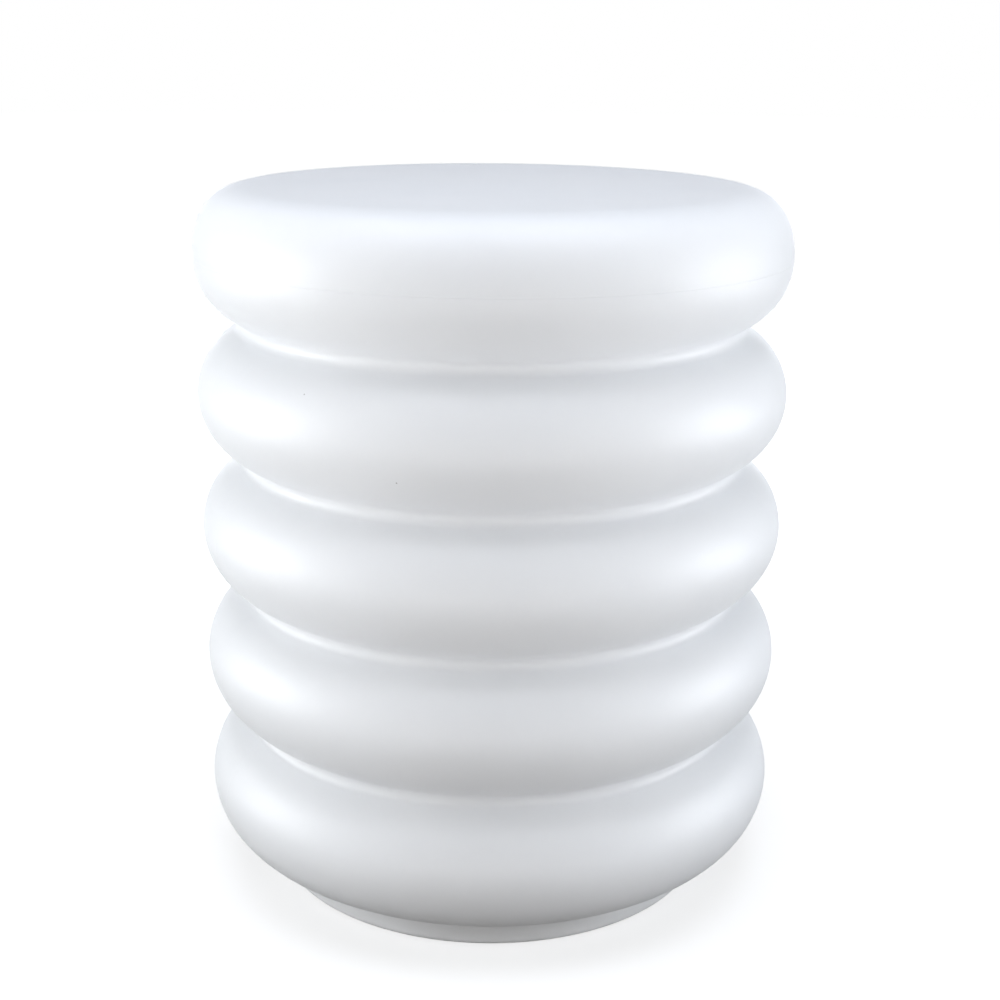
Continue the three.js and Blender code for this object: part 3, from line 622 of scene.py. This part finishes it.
lamp_plastic = grained("lamp_plastic", (0.74, 0.75, 0.77), (0.70, 0.71, 0.73), 0.52, 0.35, 0.03, 0.08, 30)
fit = 0.3 * mm
tub_wall = 2.5 * mm
tub_low, tub_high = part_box("lamp_tub")
floor_bottom = tub_low.z
floor_top = floor_bottom + 3 * mm
flange_radius = tub_high.x
tub_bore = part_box("dome_seal")[1].x - tub_wall
tub_radius = tub_bore + tub_wall
drip_groove = floor_bottom + 0.5 * mm
tub = turned("lamp_tub_moulding", [
    (0, floor_bottom), (72 * mm, floor_bottom), (72.5 * mm, drip_groove), (74.5 * mm, drip_groove),
    (75 * mm, floor_bottom), (flange_radius, floor_bottom, 0.8), (flange_radius, floor_top, 0.4),
    (tub_radius, floor_top, 0.4), (tub_radius, tub_high.z, 0.4), (tub_bore, tub_high.z, 0.4),
    (tub_bore, floor_top, 0.8), (0, floor_top)], lamp_plastic, 160)

carrier_places = middles("carrier_screw", 3)
strap_places = middles("strap_screw", 2)
board_places = middles("board_screw", 2)
board_low, board_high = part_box("control_board")
board_y = (board_low.y + board_high.y) / 2
peg_places = [(-x, y) for x, y in board_places]
into = floor_top - 0.8 * mm
carrier_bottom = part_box("led_carrier")[0].z
carrier_post = carrier_bottom - fit
strap_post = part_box("battery_holder")[0].z + 7 * mm
board_post = board_low.z - fit
carve(tub, "UNION", rods(
    (carrier_places, 4 * mm, into, carrier_post), (strap_places, 4 * mm, into, strap_post),
    (board_places + peg_places, 3.2 * mm, into, board_post)))
carve(tub, "UNION", rods((peg_places, 1.2 * mm, board_low.z - 2 * mm, board_high.z + 1.2 * mm)))
button_x = middle_of("power_button")[0]
lens_x = middle_of("indicator_lens")[0]
port_x = middle_of("charge_jack")[0]
anchor_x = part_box("port_plug_anchor")[0].x + 4 * mm
under, over = floor_bottom - 1 * mm, floor_top + 1 * mm
carve(tub, "DIFFERENCE", rods(
    (screw_places, 2.3 * mm, under, recess_depth),
    *[([(x, board_y)], radius * mm, under, over) for x, radius in (
        (button_x, 6.3), (lens_x, 2.8), (port_x, 4), (anchor_x, 2.3))],
    (carrier_places, 1.8 * mm, carrier_post - 8 * mm, carrier_bottom),
    (strap_places, 1.8 * mm, strap_post - 8 * mm, strap_post + fit),
    (board_places, 1.5 * mm, board_post - 6 * mm, board_low.z)))
settle(tub, "lamp_plastic", "lamp_tub")

# Flange gasket
# A ring cut from black rubber sheet, squeezed between the tub's flange and the ledge of the body, with a clear
# hole round each screw.


def flat_ring(name, solid, material, ease, corner_steps, inner=0):
    """A ring, or a disc where the inner radius is 0, as wide and as thick as the solid that it stands for."""
    low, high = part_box(solid)
    inner_ease = (ease,) if inner else ()
    return turned(name, [
        (inner, low.z, *inner_ease), (high.x, low.z, ease), (high.x, high.z, ease), (inner, high.z, *inner_ease)],
        material, 128, corner_steps=corner_steps)


black_rubber = grained("black_rubber", (0.020, 0.020, 0.022), (0.032, 0.032, 0.034), 0.72, 0.5, 0.02, 0.1, 12)
gasket = flat_ring("flange_gasket_ring", "flange_gasket", black_rubber, 0.2, 2, opening_radius + 1 * mm)
carve(gasket, "DIFFERENCE", rods((screw_places, 2.6 * mm, floor_top, recess_depth)))
settle(gasket, "black_rubber", "flange_gasket")

# Screws
# Zinc-plated pan-head screws with a cross recess: six hold the flange up to the inserts, and smaller ones hold the
# LED carrier, the board and the battery strap. Each stops where its driver slipped out, so no two crosses line up.


def brick(tree, size, at):
    return moved(put(tree, "MeshCube", {"Size": size}), at)


def coiled(tree, radius, turns, rise, wire, steps, sides):
    """A wire wound about the Z axis."""
    spiral = put(tree, "CurveSpiral", {
        "Resolution": steps, "Rotations": turns, "Start Radius": radius, "End Radius": radius, "Height": rise})
    section = put(tree, "CurvePrimitiveCircle", {"Resolution": sides, "Radius": wire})
    return put(tree, "CurveToMesh", {"Curve": spiral, "Profile Curve": section, "Fill Caps": True})


def dome_shape(tree, segments, radius, rise, fullness=1):
    """The upper half of a ball on a flat bottom. A lower fullness squares its shoulder."""
    ball = put(tree, "MeshUVSphere", {"Segments": segments, "Rings": segments // 2, "Radius": 1.0})
    x, y, z = axes(put(tree, "InputPosition"))
    return placed(ball, (x * radius, y * radius, maths("POWER", maths("MAXIMUM", z, 0), fullness) * rise))


screw_tree, points, radius, length, head_radius, head_rise, pitch, upside_down, seed, material = shape_tree(
    "screw_row", Float="Shank Radius, Shank Length, Head Radius, Head Rise, Thread Pitch, Upside Down", Int="Seed")
core = radius * 0.86
shank = rod(screw_tree, 20, core, length)
thread_length = length * 0.94
coil = coiled(screw_tree, core, thread_length / pitch, thread_length, radius * 0.14, 16, 4)
head = dome_shape(screw_tree, 32, head_radius, head_rise, 0.55)
long, wide = head_radius * 1.15, head_radius * 0.26
arms = [brick(screw_tree, (*size, head_rise), (0, 0, head_rise * 0.95)) for size in ((long, wide), (wide, long))]
screw = together(moved(shank, (0, 0, length * -0.49)), moved(coil, (0, 0, length * -0.99)), cut(head, arms))
spin = put(screw_tree, "RandomValue", {"Max": 1.57, "Seed": seed}, data_type="FLOAT")["Value"]
close_tree(copies(points, screw, (upside_down * math.pi, 0, spin)), material)

screw_steel = grained("screw_steel", (0.60, 0.61, 0.63), (0.48, 0.49, 0.52), 0.30, 0.25, 0.004, 0.22, 2.5,
                      metallic=1.0, rubs=0.6, rub_size=2)


def screws(stem, count, height, radius, length, pitch, seed, upside_down=0.0):
    """A row of screws in place of the numbered solids, with the undersides of their heads at one height."""
    row = grown(stem + "s", [(x, y, height) for x, y in middles(stem, count)], screw_tree, shank_radius=radius,
                shank_length=length, head_radius=1.9 * radius, head_rise=1.2 * radius, thread_pitch=pitch,
                upside_down=upside_down, seed=seed, material=screw_steel)
    settle(row, "screw_steel", *row_of(stem, count))


def top_of(node):
    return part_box(node)[1].z


screws("flange_screw", 6, floor_bottom - fit, 2 * mm, top_of("flange_screw_1") - floor_bottom + fit, 0.7 * mm, 3, 1.0)
screws("carrier_screw", 3, top_of("carrier_screw_1") - 1.8 * mm, 1.5 * mm, 8 * mm, 1.1 * mm, 5)
screws("strap_screw", 2, top_of("strap_screw_1") - 1.8 * mm, 1.5 * mm, 7.2 * mm, 1.1 * mm, 8)
screws("board_screw", 2, top_of("board_screw_1") - 1.44 * mm, 1.2 * mm, 6 * mm, 0.9 * mm, 11)

# Power button
# A round ABS cap that slides in the tub's floor, held by its flange inside. A shallow dish and a raised ring let a
# finger find it from below.

cap_bottom, cap_top = (corner.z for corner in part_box("power_button"))
dish, collar = cap_bottom + 0.35 * mm, floor_top + fit
button = turned("button_cap", [
    (0, dish), (4.1 * mm, dish, 0.2), (4.5 * mm, cap_bottom, 0.15), (6 * mm, cap_bottom, 0.6),
    (6 * mm, collar, 0.15), (7.6 * mm, collar, 0.2), (7.6 * mm, cap_top, 0.2),
    (0, cap_top)], lamp_plastic, 72, (button_x, board_y))
settle(button, "lamp_plastic", "power_button", body="button")

# Indicator lens
# A clear acrylic light pipe in the floor, held by its flange, that brings the small LED's light down to the user.

clear_plastic = grained("clear_plastic", (0.92, 0.95, 0.97), (0.90, 0.93, 0.96), 0.08, 0.6, 0.002, 0.04, 8, rubs=0.15)
feed(nodes_of(clear_plastic)[1], {"Transmission Weight": 0.92, "IOR": 1.49})
lens_low, lens_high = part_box("indicator_lens")
pipe_radius, pipe_flange, flange_top = 2.5 * mm, 4 * mm, collar + 1 * mm
lens = turned("indicator_light_pipe", [
    (0, lens_low.z), (pipe_radius, lens_low.z, 0.3), (pipe_radius, collar, 0.1),
    (pipe_flange, collar, 0.2), (pipe_flange, flange_top, 0.2), (pipe_radius, flange_top, 0.1),
    (pipe_radius, lens_high.z, 0.3), (0, lens_high.z)], clear_plastic, 48, (lens_x, board_y))
settle(lens, "clear_plastic", "indicator_lens")

# Port stopper and its anchor
# Soft grey rubber. The stopper plugs the charging port and swings down on a thin band; the band's fixed end is
# pulled through its own hole and held there by a barb.

grey_rubber = grained("grey_rubber", (0.30, 0.31, 0.32), (0.25, 0.26, 0.27), 0.66, 0.4, 0.02, 0.1, 9)


def slab(low, high, ease):
    """A block with rounded edges as a mesh."""
    work = bmesh.new()
    bmesh.ops.create_cube(work, size=1)
    size = [b - a for a, b in zip(low, high)]
    middle = [(a + b) / 2 for a, b in zip(low, high)]
    bmesh.ops.transform(work, matrix=Matrix.Translation(middle) @ Matrix.Diagonal((*size, 1)), verts=work.verts)
    bmesh.ops.bevel(work, geom=work.edges[:], offset=ease, segments=3, affect="EDGES", profile=0.5)
    return as_mesh(work, "slab")


def band(start, end):
    """A stretch of the thin band that holds the stopper."""
    return slab((start, board_y - 2.5 * mm, band_bottom), (end, board_y + 2.5 * mm, band_top), 0.35 * mm)


plug_low, plug_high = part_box("port_plug")
plug_lip = 5.6 * mm
band_top = floor_bottom - fit
band_bottom = band_top - 1 * mm
stopper = turned("stopper", [
    (0, plug_low.z), (plug_lip, plug_low.z, 0.6), (plug_lip, band_top, 0.25),
    (3.7 * mm, band_top, 0.1), (3.7 * mm, floor_bottom + 0.5 * mm, 0.1),
    (3.2 * mm, plug_high.z, 0.5), (0, plug_high.z)], grey_rubber, 64, (port_x, board_y))
carve(stopper, "UNION", band(plug_low.x, plug_high.x))
settle(stopper, "grey_rubber", "port_plug", body="stopper")
anchor_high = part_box("port_plug_anchor")[1]
anchor = turned("stopper_anchor", [
    (0, band_bottom), (4 * mm, band_bottom, 0.35), (4 * mm, band_top, 0.2), (2 * mm, band_top),
    (2 * mm, collar), (3 * mm, collar, 0.2), (2 * mm, anchor_high.z, 0.3), (0, anchor_high.z)],
    grey_rubber, 48, (anchor_x, board_y))
carve(anchor, "UNION", band(anchor_x, anchor_high.x))
settle(anchor, "grey_rubber", "port_plug_anchor")

# Charging port and switch
# Black moulded housings soldered under the board: the barrel socket over the port, and the switch with its nylon
# plunger over the button.


def dress(material, *names):
    """Gives solids that are carried over from the CAD model their material."""
    for name in names:
        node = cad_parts[name]
        node.data.materials.clear()
        node.data.materials.append(material)


black_plastic = grained("black_plastic", (0.022, 0.022, 0.024), (0.03, 0.03, 0.033), 0.45, 0.3, 0.012)
nylon = grained("connector_nylon", (0.74, 0.69, 0.58), (0.69, 0.64, 0.53), 0.48, 0.4, 0.01)
dress(black_plastic, "charge_jack", "switch_body")
dress(nylon, "switch_plunger")

# Button spring
# A coil of drawn spring wire round the switch that pushes the button back down. The real coil shortens as the button
# rises; this one is built at one length.

tree, _, coil_radius, wire, turns, rise, material = shape_tree(
    "wire_coil", Float="Coil Radius, Wire Radius, Turns, Rise")
close_tree(coiled(tree, coil_radius, turns, rise, wire, 40, 10), material)

spring_steel = grained("spring_steel", (0.50, 0.51, 0.53), (0.42, 0.43, 0.45), 0.34, 0.3, 0.004, 0.12, 3, metallic=1.0)
spring_bottom, spring_top = (corner.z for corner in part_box("button_spring"))
wire_radius, button_travel = 0.35 * mm, 1.2 * mm
spring = grown("return_spring", [(0, 0, 0)], tree, coil_radius=3.6 * mm, wire_radius=wire_radius, turns=4.0,
               rise=spring_top - spring_bottom - 2 * wire_radius, material=spring_steel,
               at=(button_x, board_y, spring_bottom + wire_radius))
settle(spring, "spring_steel", "button_spring")
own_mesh(spring)

# Control board
# A green printed board on four posts under two screws. A microcontroller on bent legs, a wound inductor, two nylon
# connectors and small surface parts are soldered on it.


def traced(name, color, trace, roughness, pitch):
    """Solder mask with bundles of copper tracks showing faintly through it, and tinned holes between them."""
    material = grained(name, color, color, roughness, 0.5, 0.003, 0.05, 20)
    tree, _, bump = nodes_of(material)
    here = object_place(tree)
    x, y, _ = axes(here)
    flat = {"voronoi_dimensions": "2D"}
    cells = put(tree, "TexVoronoi", {"Vector": here, "Scale": 1 / (8 * pitch)}, distance="CHEBYCHEV", **flat)
    holes = put(tree, "TexVoronoi", {"Vector": here, "Scale": 1 / (3.2 * pitch)}, **flat)
    pick = put(tree, "SeparateColor", {0: cells["Color"]})
    lengthways = pick[0] < 0.5
    across = lengthways * y + (1 - lengthways) * x
    from_middle = abs(maths("FRACT", across / pitch) - 0.5)
    track = between(from_middle, 0.16, 0.22, 1, 0) * (pick[1] > 0.4)
    over_color(material, track * 0.8, trace)
    over_color(material, between(holes["Distance"], 0.08, 0.10, 1, 0), (0.50, 0.49, 0.45))
    feed(bump, {"Height": track * (0.015 * mm) + fed(bump, "Height") * (0.003 * mm), "Distance": 1.0})
    return material


board_green = traced("board_green", (0.020, 0.13, 0.055), (0.045, 0.24, 0.10), 0.32, 1.1 * mm)
dark_resin = grained("dark_resin", (0.018, 0.018, 0.020), (0.024, 0.024, 0.026), 0.38, 0.15, 0.01)
tan_ceramic = grained("tan_ceramic", (0.42, 0.30, 0.19), (0.38, 0.27, 0.17), 0.36, 0.15, 0.006)
ferrite = grained("ferrite", (0.075, 0.075, 0.08), (0.055, 0.055, 0.06), 0.58, 0.2, 0.02)
nickel = grained("nickel", (0.66, 0.64, 0.59), (0.56, 0.54, 0.50), 0.26, 0.3, 0.004, 0.15, 5, metallic=1.0, rubs=0.7,
                 rub_size=4)
dress(board_green, "control_board")
dress(nylon, "battery_connector", "led_connector")
dress(clear_plastic, "indicator_led")

chip_low, chip_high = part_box("microcontroller")
chip_x, chip_y = middle_of("microcontroller")
leg_reach = (chip_high.y - chip_low.y) / 2
chip_half = leg_reach - 0.8 * mm
chip_body = plain_object("microcontroller_body", slab(
    (chip_low.x, chip_y - chip_half, chip_low.z + 0.15 * mm), (chip_high.x, chip_y + chip_half, chip_high.z),
    0.12 * mm))
chip_body.data.materials.append(dark_resin)
clean(chip_body.data)
settle(chip_body, "dark_resin", "microcontroller")

tree, _, pitch, reach, rise, width, thick, count, material = shape_tree(
    "leg_rows", Float="Pitch, Reach, Rise, Leg Width, Leg Thickness", Int="Count")
run = width * 1.2
bend = reach - run
leg = together(
    brick(tree, (width, run, thick), (0, bend - run * 0.5, rise)),
    brick(tree, (width, thick, rise), (0, bend, rise * 0.5)),
    brick(tree, (width, run, thick), (0, bend + run * 0.5, thick * 0.5)))
line = put(tree, "MeshLine", {
    "Count": count, "Start Location": ((count - 1) * 0.5 * pitch * -1, 0, 0), "Offset": (pitch, 0, 0)})
near_row = copies(line, leg)
close_tree(together(near_row, moved(near_row, turn=(0, 0, math.pi))), material)
legs = grown("microcontroller_legs", [(0, 0, 0)], tree, count=8, pitch=1.15 * mm, reach=leg_reach, rise=0.85 * mm,
             leg_width=0.42 * mm, leg_thickness=0.14 * mm, material=nickel, at=(chip_x, chip_y, chip_low.z))
settle(legs, "nickel")

coil_low, coil_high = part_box("inductor")
can_bottom, can_dip = coil_low.z + 0.4 * mm, coil_high.z - 0.25 * mm
inductor = turned("inductor_can", [
    (0, can_bottom), (3.2 * mm, can_bottom), (3.2 * mm, coil_high.z, 0.4), (1.6 * mm, coil_high.z, 0.15),
    (1.4 * mm, can_dip), (0, can_dip)], ferrite, 48, middle_of("inductor"))
carve(inductor, "UNION", slab(coil_low, (coil_high.x, coil_high.y, coil_low.z + 1 * mm), 0.2 * mm))
settle(inductor, "ferrite", "inductor")

tree, points, length, width, height, turn, body_shade, material = shape_tree(
    "surface_parts", "Body, Material", Float="Length, Width, Height, Turn")
half = height * 0.5
middle = painted(brick(tree, (length * 0.7, width * 0.94, height * 0.9), (0, 0, half)), body_shade)
ends = [painted(brick(tree, (length * 0.22, width, height), (length * 0.39 * side, 0, half)), material)
        for side in (-1, 1)]
close_tree(copies(points, together(middle, *ends), (0, 0, turn)))
for name, shade, length, turn, spots in (
        ("chip_resistors", dark_resin, 1.6, math.pi / 2, [(-20 + 3.5 * i, -9.5) for i in range(6)]),
        ("chip_capacitors", tan_ceramic, 2.0, 0.0,
         [(5, -8.5), (5, -10.5), (19.5, 2), (19.5, -1), (-20, 4), (-20, 1.5)])):
    parts = grown(name, [(x * mm, board_y + y * mm, board_high.z) for x, y in spots], tree, length=length * mm,
                  width=length * 0.55 * mm, height=length * 0.4 * mm, turn=turn, body=shade, material=nickel)
    settle(parts, "dark_resin")

# Battery
# Three cells in blue shrink sleeves lie in a black tray under a moulded strap, and nickel strips are spot-welded
# across their ends.

tree, outline, spacing, can_radius, can_length, nub_radius, nub_height, count, sleeve_shade, material = shape_tree(
    "cell_row", "Sleeve, Material", Float="Spacing, Can Radius, Can Length, Nub Radius, Nub Height", Int="Count")
sleeve = painted(turning_nodes(outline, 48), sleeve_shade)
nub = moved(rod(tree, 32, nub_radius, nub_height), (0, 0, (can_length + nub_height) * 0.499))
metal = painted(together(rod(tree, 48, can_radius, can_length), nub), material)
cell = moved(together(sleeve, metal), turn=(0, math.pi / 2, 0))
line = put(tree, "MeshLine", {"Count": count, "Offset": (0, spacing, 0)})
close_tree(copies(line, cell))

cell_sleeve = grained("cell_sleeve", (0.035, 0.14, 0.36), (0.03, 0.12, 0.31), 0.30, 1.2, 0.02, patch_size=15)
cell_low, cell_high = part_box("battery_cell_1")
cell_radius = (cell_high.z - cell_low.z) / 2
nub_height = 1 * mm
half_can = (cell_high.x - cell_low.x - nub_height) / 2
film = 0.15 * mm
lip_radius = cell_radius - 1.8 * mm
sleeve_outline = eased([
    (lip_radius, -half_can), (cell_radius, -half_can, 0.6), (cell_radius, half_can, 0.6),
    (lip_radius, half_can), (lip_radius, half_can - film), (cell_radius - film, half_can - film),
    (cell_radius - film, film - half_can), (lip_radius, film - half_can), (lip_radius, -half_can)])
cell_x, cell_y = middle_of("battery_cell_1")
cells = grown("battery_cells", [(radius, 0, height) for radius, height in sleeve_outline], tree, count=3,
              spacing=middle_of("battery_cell_2")[1] - cell_y, can_radius=cell_radius - 2 * film,
              can_length=2 * (half_can - 1.2 * film), nub_radius=3 * mm, nub_height=nub_height + 1.2 * film,
              sleeve=cell_sleeve, material=nickel,
              at=(cell_x - nub_height / 2, cell_y, (cell_low.z + cell_high.z) / 2))
settle(cells, "cell_sleeve", *row_of("battery_cell", 3))
dress(black_plastic, "battery_holder", "battery_strap")
dress(nickel, "nickel_strip_1", "nickel_strip_2")

# Leads
# Three stranded leads in extruded jackets: the battery's red and black ones, and the white one up to the LEDs.

for lead, jacket, color in (("battery_lead_positive", "red_jacket", (0.42, 0.022, 0.018)),
                            ("battery_lead_negative", "black_jacket", (0.02, 0.02, 0.022)),
                            ("led_lead", "white_jacket", (0.72, 0.72, 0.71))):
    shade = tuple(0.85 * c for c in color)
    dress(grained(jacket, color, shade, 0.46, 0.5, 0.01, 0.08, 8), lead)

# LED carrier and its board
# A disc of rolled aluminium carries the heat of the LEDs. The white board is bonded on it, with eight LEDs in a ring
# and the remote control's dark receiver in the middle.

aluminium = grained("aluminium", (0.66, 0.67, 0.68), (0.60, 0.61, 0.62), 0.38, 0.5, 0.003, 0.08, 25, metallic=1.0,
                    rubs=0.5)
tree, shader, _ = nodes_of(aluminium)
rolled = put(tree, "Mapping", {"Vector": object_place(tree), "Scale": (8, 900, 900)})
streaks = between(noise(tree, 1.0, 3, 0.6, rolled), 0.3, 0.7, -0.08, 0.1)
feed(shader, {"Roughness": fed(shader, "Roughness") + streaks})
carrier = flat_ring("led_carrier_plate", "led_carrier", aluminium, 0.3, 3)
under, over = carrier_bottom - 1 * mm, top_of("led_carrier") + 1 * mm
lead_hole = (14 * mm, -13.45 * mm)
carve(carrier, "DIFFERENCE", rods((carrier_places, 1.8 * mm, under, over), ([lead_hole], 3 * mm, under, over)))
settle(carrier, "aluminium", "led_carrier")
board_white = traced("board_white", (0.76, 0.77, 0.75), (0.70, 0.71, 0.69), 0.36, 2.2 * mm)
led_board = flat_ring("led_board_disc", "led_board", board_white, 0.15, 2)
settle(led_board, "board_white", "led_board")

tree, _, ring_radius, size, height, lens_radius, lens_rise, count, package, material = shape_tree(
    "led_ring", "Package, Material", Float="Ring Radius, Package Size, Package Height, Lens Radius, Lens Rise",
    Int="Count")
spots = put(tree, "MeshCircle", {"Vertices": count, "Radius": ring_radius})
base = brick(tree, (size, size, height), (0, 0, height * 0.5))
cup = moved(rod(tree, 28, lens_radius * 1.1, height * 1.2), (0, 0, height))
drop = moved(dome_shape(tree, 24, lens_radius, lens_rise), (0, 0, height * 0.42))
facing = put(tree, "InputIndex") / count * (2 * math.pi)
led = together(painted(cut(base, cup), package), painted(drop, material))
close_tree(copies(spots, led, (0, 0, facing)))

led_package = grained("led_package", (0.80, 0.79, 0.74), (0.77, 0.76, 0.71), 0.40, 0.2, 0.006)
phosphor = grained("led_phosphor", (0.82, 0.62, 0.10), (0.78, 0.56, 0.08), 0.32, 0.12, 0.01)
leds = grown("led_ring", [(0, 0, 0)], tree, count=8, ring_radius=math.hypot(*middle_of("led_1")),
             package_size=5 * mm, package_height=1 * mm, lens_radius=1.9 * mm, lens_rise=1.18 * mm,
             package=led_package, material=phosphor, at=(0, 0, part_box("led_1")[0].z))
settle(leds, "led_package", *row_of("led", 8))
dark_lens = grained("dark_lens", (0.022, 0.012, 0.018), (0.018, 0.010, 0.014), 0.22, 0.4, 0.003)
dress(dark_lens, "ir_receiver")

# Diffuser dome and its seal
# A shallow cap of frosted polycarbonate slips over the rim of the tub on a rubber ring and spreads the LEDs' light
# up into the body.

seal = flat_ring("dome_seal_ring", "dome_seal", black_rubber, 0.3, 3, tub_bore)
settle(seal, "black_rubber", "dome_seal")
frosted = grained("frosted_plastic", (0.84, 0.84, 0.83), (0.81, 0.81, 0.80), 0.50, 0.25, 0.02, 0.06, 40)
dome_low, dome_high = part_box("diffuser_dome")
dome_rise, dome_wall = 20 * mm, 2.2 * mm
shoulder = dome_high.z - dome_rise
skirt_outer, skirt_inner = dome_high.x, dome_high.x - dome_wall


def cap(edge, height, steps):
    """The outline of a shallow dome, from its edge up to its middle."""
    radius = (edge**2 + dome_rise**2) / (2 * dome_rise)
    return arc(0, height + dome_rise - radius, radius, math.asin(1 - dome_rise / radius), math.pi / 2, steps)


dome = turned("diffuser_cap", [
    *cap(tub_bore, shoulder - dome_wall, 16)[::-1], (skirt_inner, shoulder - dome_wall), (skirt_inner, dome_low.z),
    (skirt_outer, dome_low.z), (skirt_outer, shoulder), *cap(skirt_outer, shoulder, 20)[1:]], frosted, 128)
settle(dome, "frosted_plastic", "diffuser_dome")

# The room
# A plain pale floor and a white room, soft lamps on both sides and overhead, and the camera where the photograph
# was taken from.


def backdrop_share(tree):
    """1 for what the camera or a refraction sees. A reflection sees it dimmer, which draws a thin grey outline."""
    path = put(tree, "LightPath")
    seen = path["Is Camera Ray"] + path["Is Transmission Ray"]
    return maths("MINIMUM", seen + path["Is Glossy Ray"] * 0.45, 1)


# The floor is open under the stool, where a lamp shows the underside
rim_points = 64
rim = arc(0, 0, 1, 0, 2 * math.pi, rim_points)[:-1]
floor_radius, floor_opening = 9.0, collar_radius - foot_fillet
floor_mesh = bpy.data.meshes.new("floor")
floor_mesh.from_pydata(
    [(r * x, r * y, 0) for r in (floor_opening, floor_radius) for x, y in rim], [],
    [(i, i + rim_points, (i + 1) % rim_points + rim_points, (i + 1) % rim_points) for i in range(rim_points)])
floor = plain_object("floor", floor_mesh)
floor_paint = bpy.data.materials.new("floor_paint")
floor_paint.use_nodes = True
tree = floor_paint.node_tree
away = put(tree, "VectorMath", {0: object_place(tree)}, operation="LENGTH")["Value"]
# Painted shadow: close to the foot the floor's colour for bounced light is darker than further out, standing in for
# the stool's shade on the floor
bounce_with_painted_shadow = blend_colors(between(away, 0.25, 0.9, 0, 1), (0.08, 0.08, 0.08, 1), (0.6, 0.6, 0.6, 1))
shader = tree.nodes["Principled BSDF"]
feed(shader, {"Base Color": bounce_with_painted_shadow, "Roughness": 0.8, "Specular IOR Level": 0.1})
thin = put(tree, "BsdfDiffuse", {"Color": (0.42, 0.42, 0.42, 1)})
glow = put(tree, "Emission", {"Color": (1, 1, 1, 1), "Strength": between(away, 0.15, 0.8, 0.66, 1.0)})
pale = put(tree, "AddShader", {0: thin, 1: glow})
seen = put(tree, "MixShader", {0: backdrop_share(tree), 1: Wire(shader.outputs[0]), 2: pale})
from_above = put(tree, "MixShader", {
    0: put(tree, "NewGeometry")["Backfacing"], 1: seen, 2: put(tree, "BsdfTransparent")})
feed(tree.nodes["Material Output"], {"Surface": from_above})
floor_mesh.materials.append(floor_paint)

room = bpy.data.worlds.new("room")
bpy.context.scene.world = room
room.use_nodes = True
tree = room.node_tree
around = tree.nodes["Background"]
feed(around, {"Color": (0.93, 0.96, 1.0, 1), "Strength": 0.02})
white = put(tree, "Background", {"Color": (1, 1, 1, 1), "Strength": 1.0})
mixed = put(tree, "MixShader", {0: backdrop_share(tree), 1: Wire(around.outputs[0]), 2: white})
feed(tree.nodes["World Output"], {"Surface": mixed})


def soft_lamp(name, place, aim, width, depth, power, color):
    data = bpy.data.lights.new(name, "AREA")
    data.shape = "RECTANGLE"
    data.size, data.size_y, data.energy, data.color = width, depth, power, color
    lamp = plain_object(name, data)
    lamp.location = place
    lamp.rotation_euler = (Vector(aim) - Vector(place)).to_track_quat("-Z", "Y").to_euler()
    return lamp


middle_height, over_top = (0, 0, 0.25), (0, 0, 1.2)
cool = (0.92, 0.955, 1.0)
soft_lamp("low_front_lamp", (0, -1.1, 0.08), over_top, 1.4, 0.2, 4.4, (1.0, 0.955, 0.91))
high_front = soft_lamp("high_front_lamp", (0, -1.3, 0.95), middle_height, 0.9, 0.5, 5.8, cool)
# It would draw a white glare across the seat as seen from behind
high_front.visible_glossy = False
soft_lamp("left_lamp", (-1.5, -0.1, 0.35), over_top, 0.9, 0.9, 22.5, (0.955, 0.98, 1.0))
soft_lamp("right_lamp", (1.5, -0.1, 0.35), over_top, 0.9, 0.9, 19, cool)
soft_lamp("near_top_lamp", (0, -0.35, 1.1), middle_height, 0.9, 0.6, 2.0, cool)
soft_lamp("top_lamp", (0, 0, 1.9), middle_height, 1.6, 1.6, 19.6, (0.86, 0.905, 1.0))
soft_lamp("back_lamp", (0, 1.7, 0.22), middle_height, 1.6, 0.5, 15.5, (0.95, 0.975, 1.0))
soft_lamp("under_lamp", (0, 0, -0.9), (0, 0, 0), 0.6, 0.6, 7, (1.0, 1.0, 1.0))

# The camera was fitted to the outline in the photograph, its focal length in pixels of the picture
tilt, pan, roll = math.radians(16.3785), math.radians(-0.3057), math.radians(0.4672)
focal_pixels, picture_pixels, sensor_width = 1628.19, 1000, 36
right = Vector((math.cos(pan), math.sin(pan), 0))
ahead = Vector((-math.sin(pan) * math.cos(tilt), math.cos(pan) * math.cos(tilt), -math.sin(tilt)))
upward = right.cross(ahead)
camera_x = right * math.cos(roll) + upward * math.sin(roll)
camera_y = upward * math.cos(roll) - right * math.sin(roll)
camera_data = bpy.data.cameras.new("camera")
camera_data.sensor_width = sensor_width
camera_data.lens = focal_pixels * sensor_width / picture_pixels
camera = plain_object("camera", camera_data)
turn = Matrix((camera_x, camera_y, -ahead)).transposed().to_4x4()
camera.matrix_world = Matrix.Translation((0, -0.9891, 0.5249)) @ turn
bpy.context.scene.camera = camera
bpy.context.scene.view_settings.view_transform = "Standard"
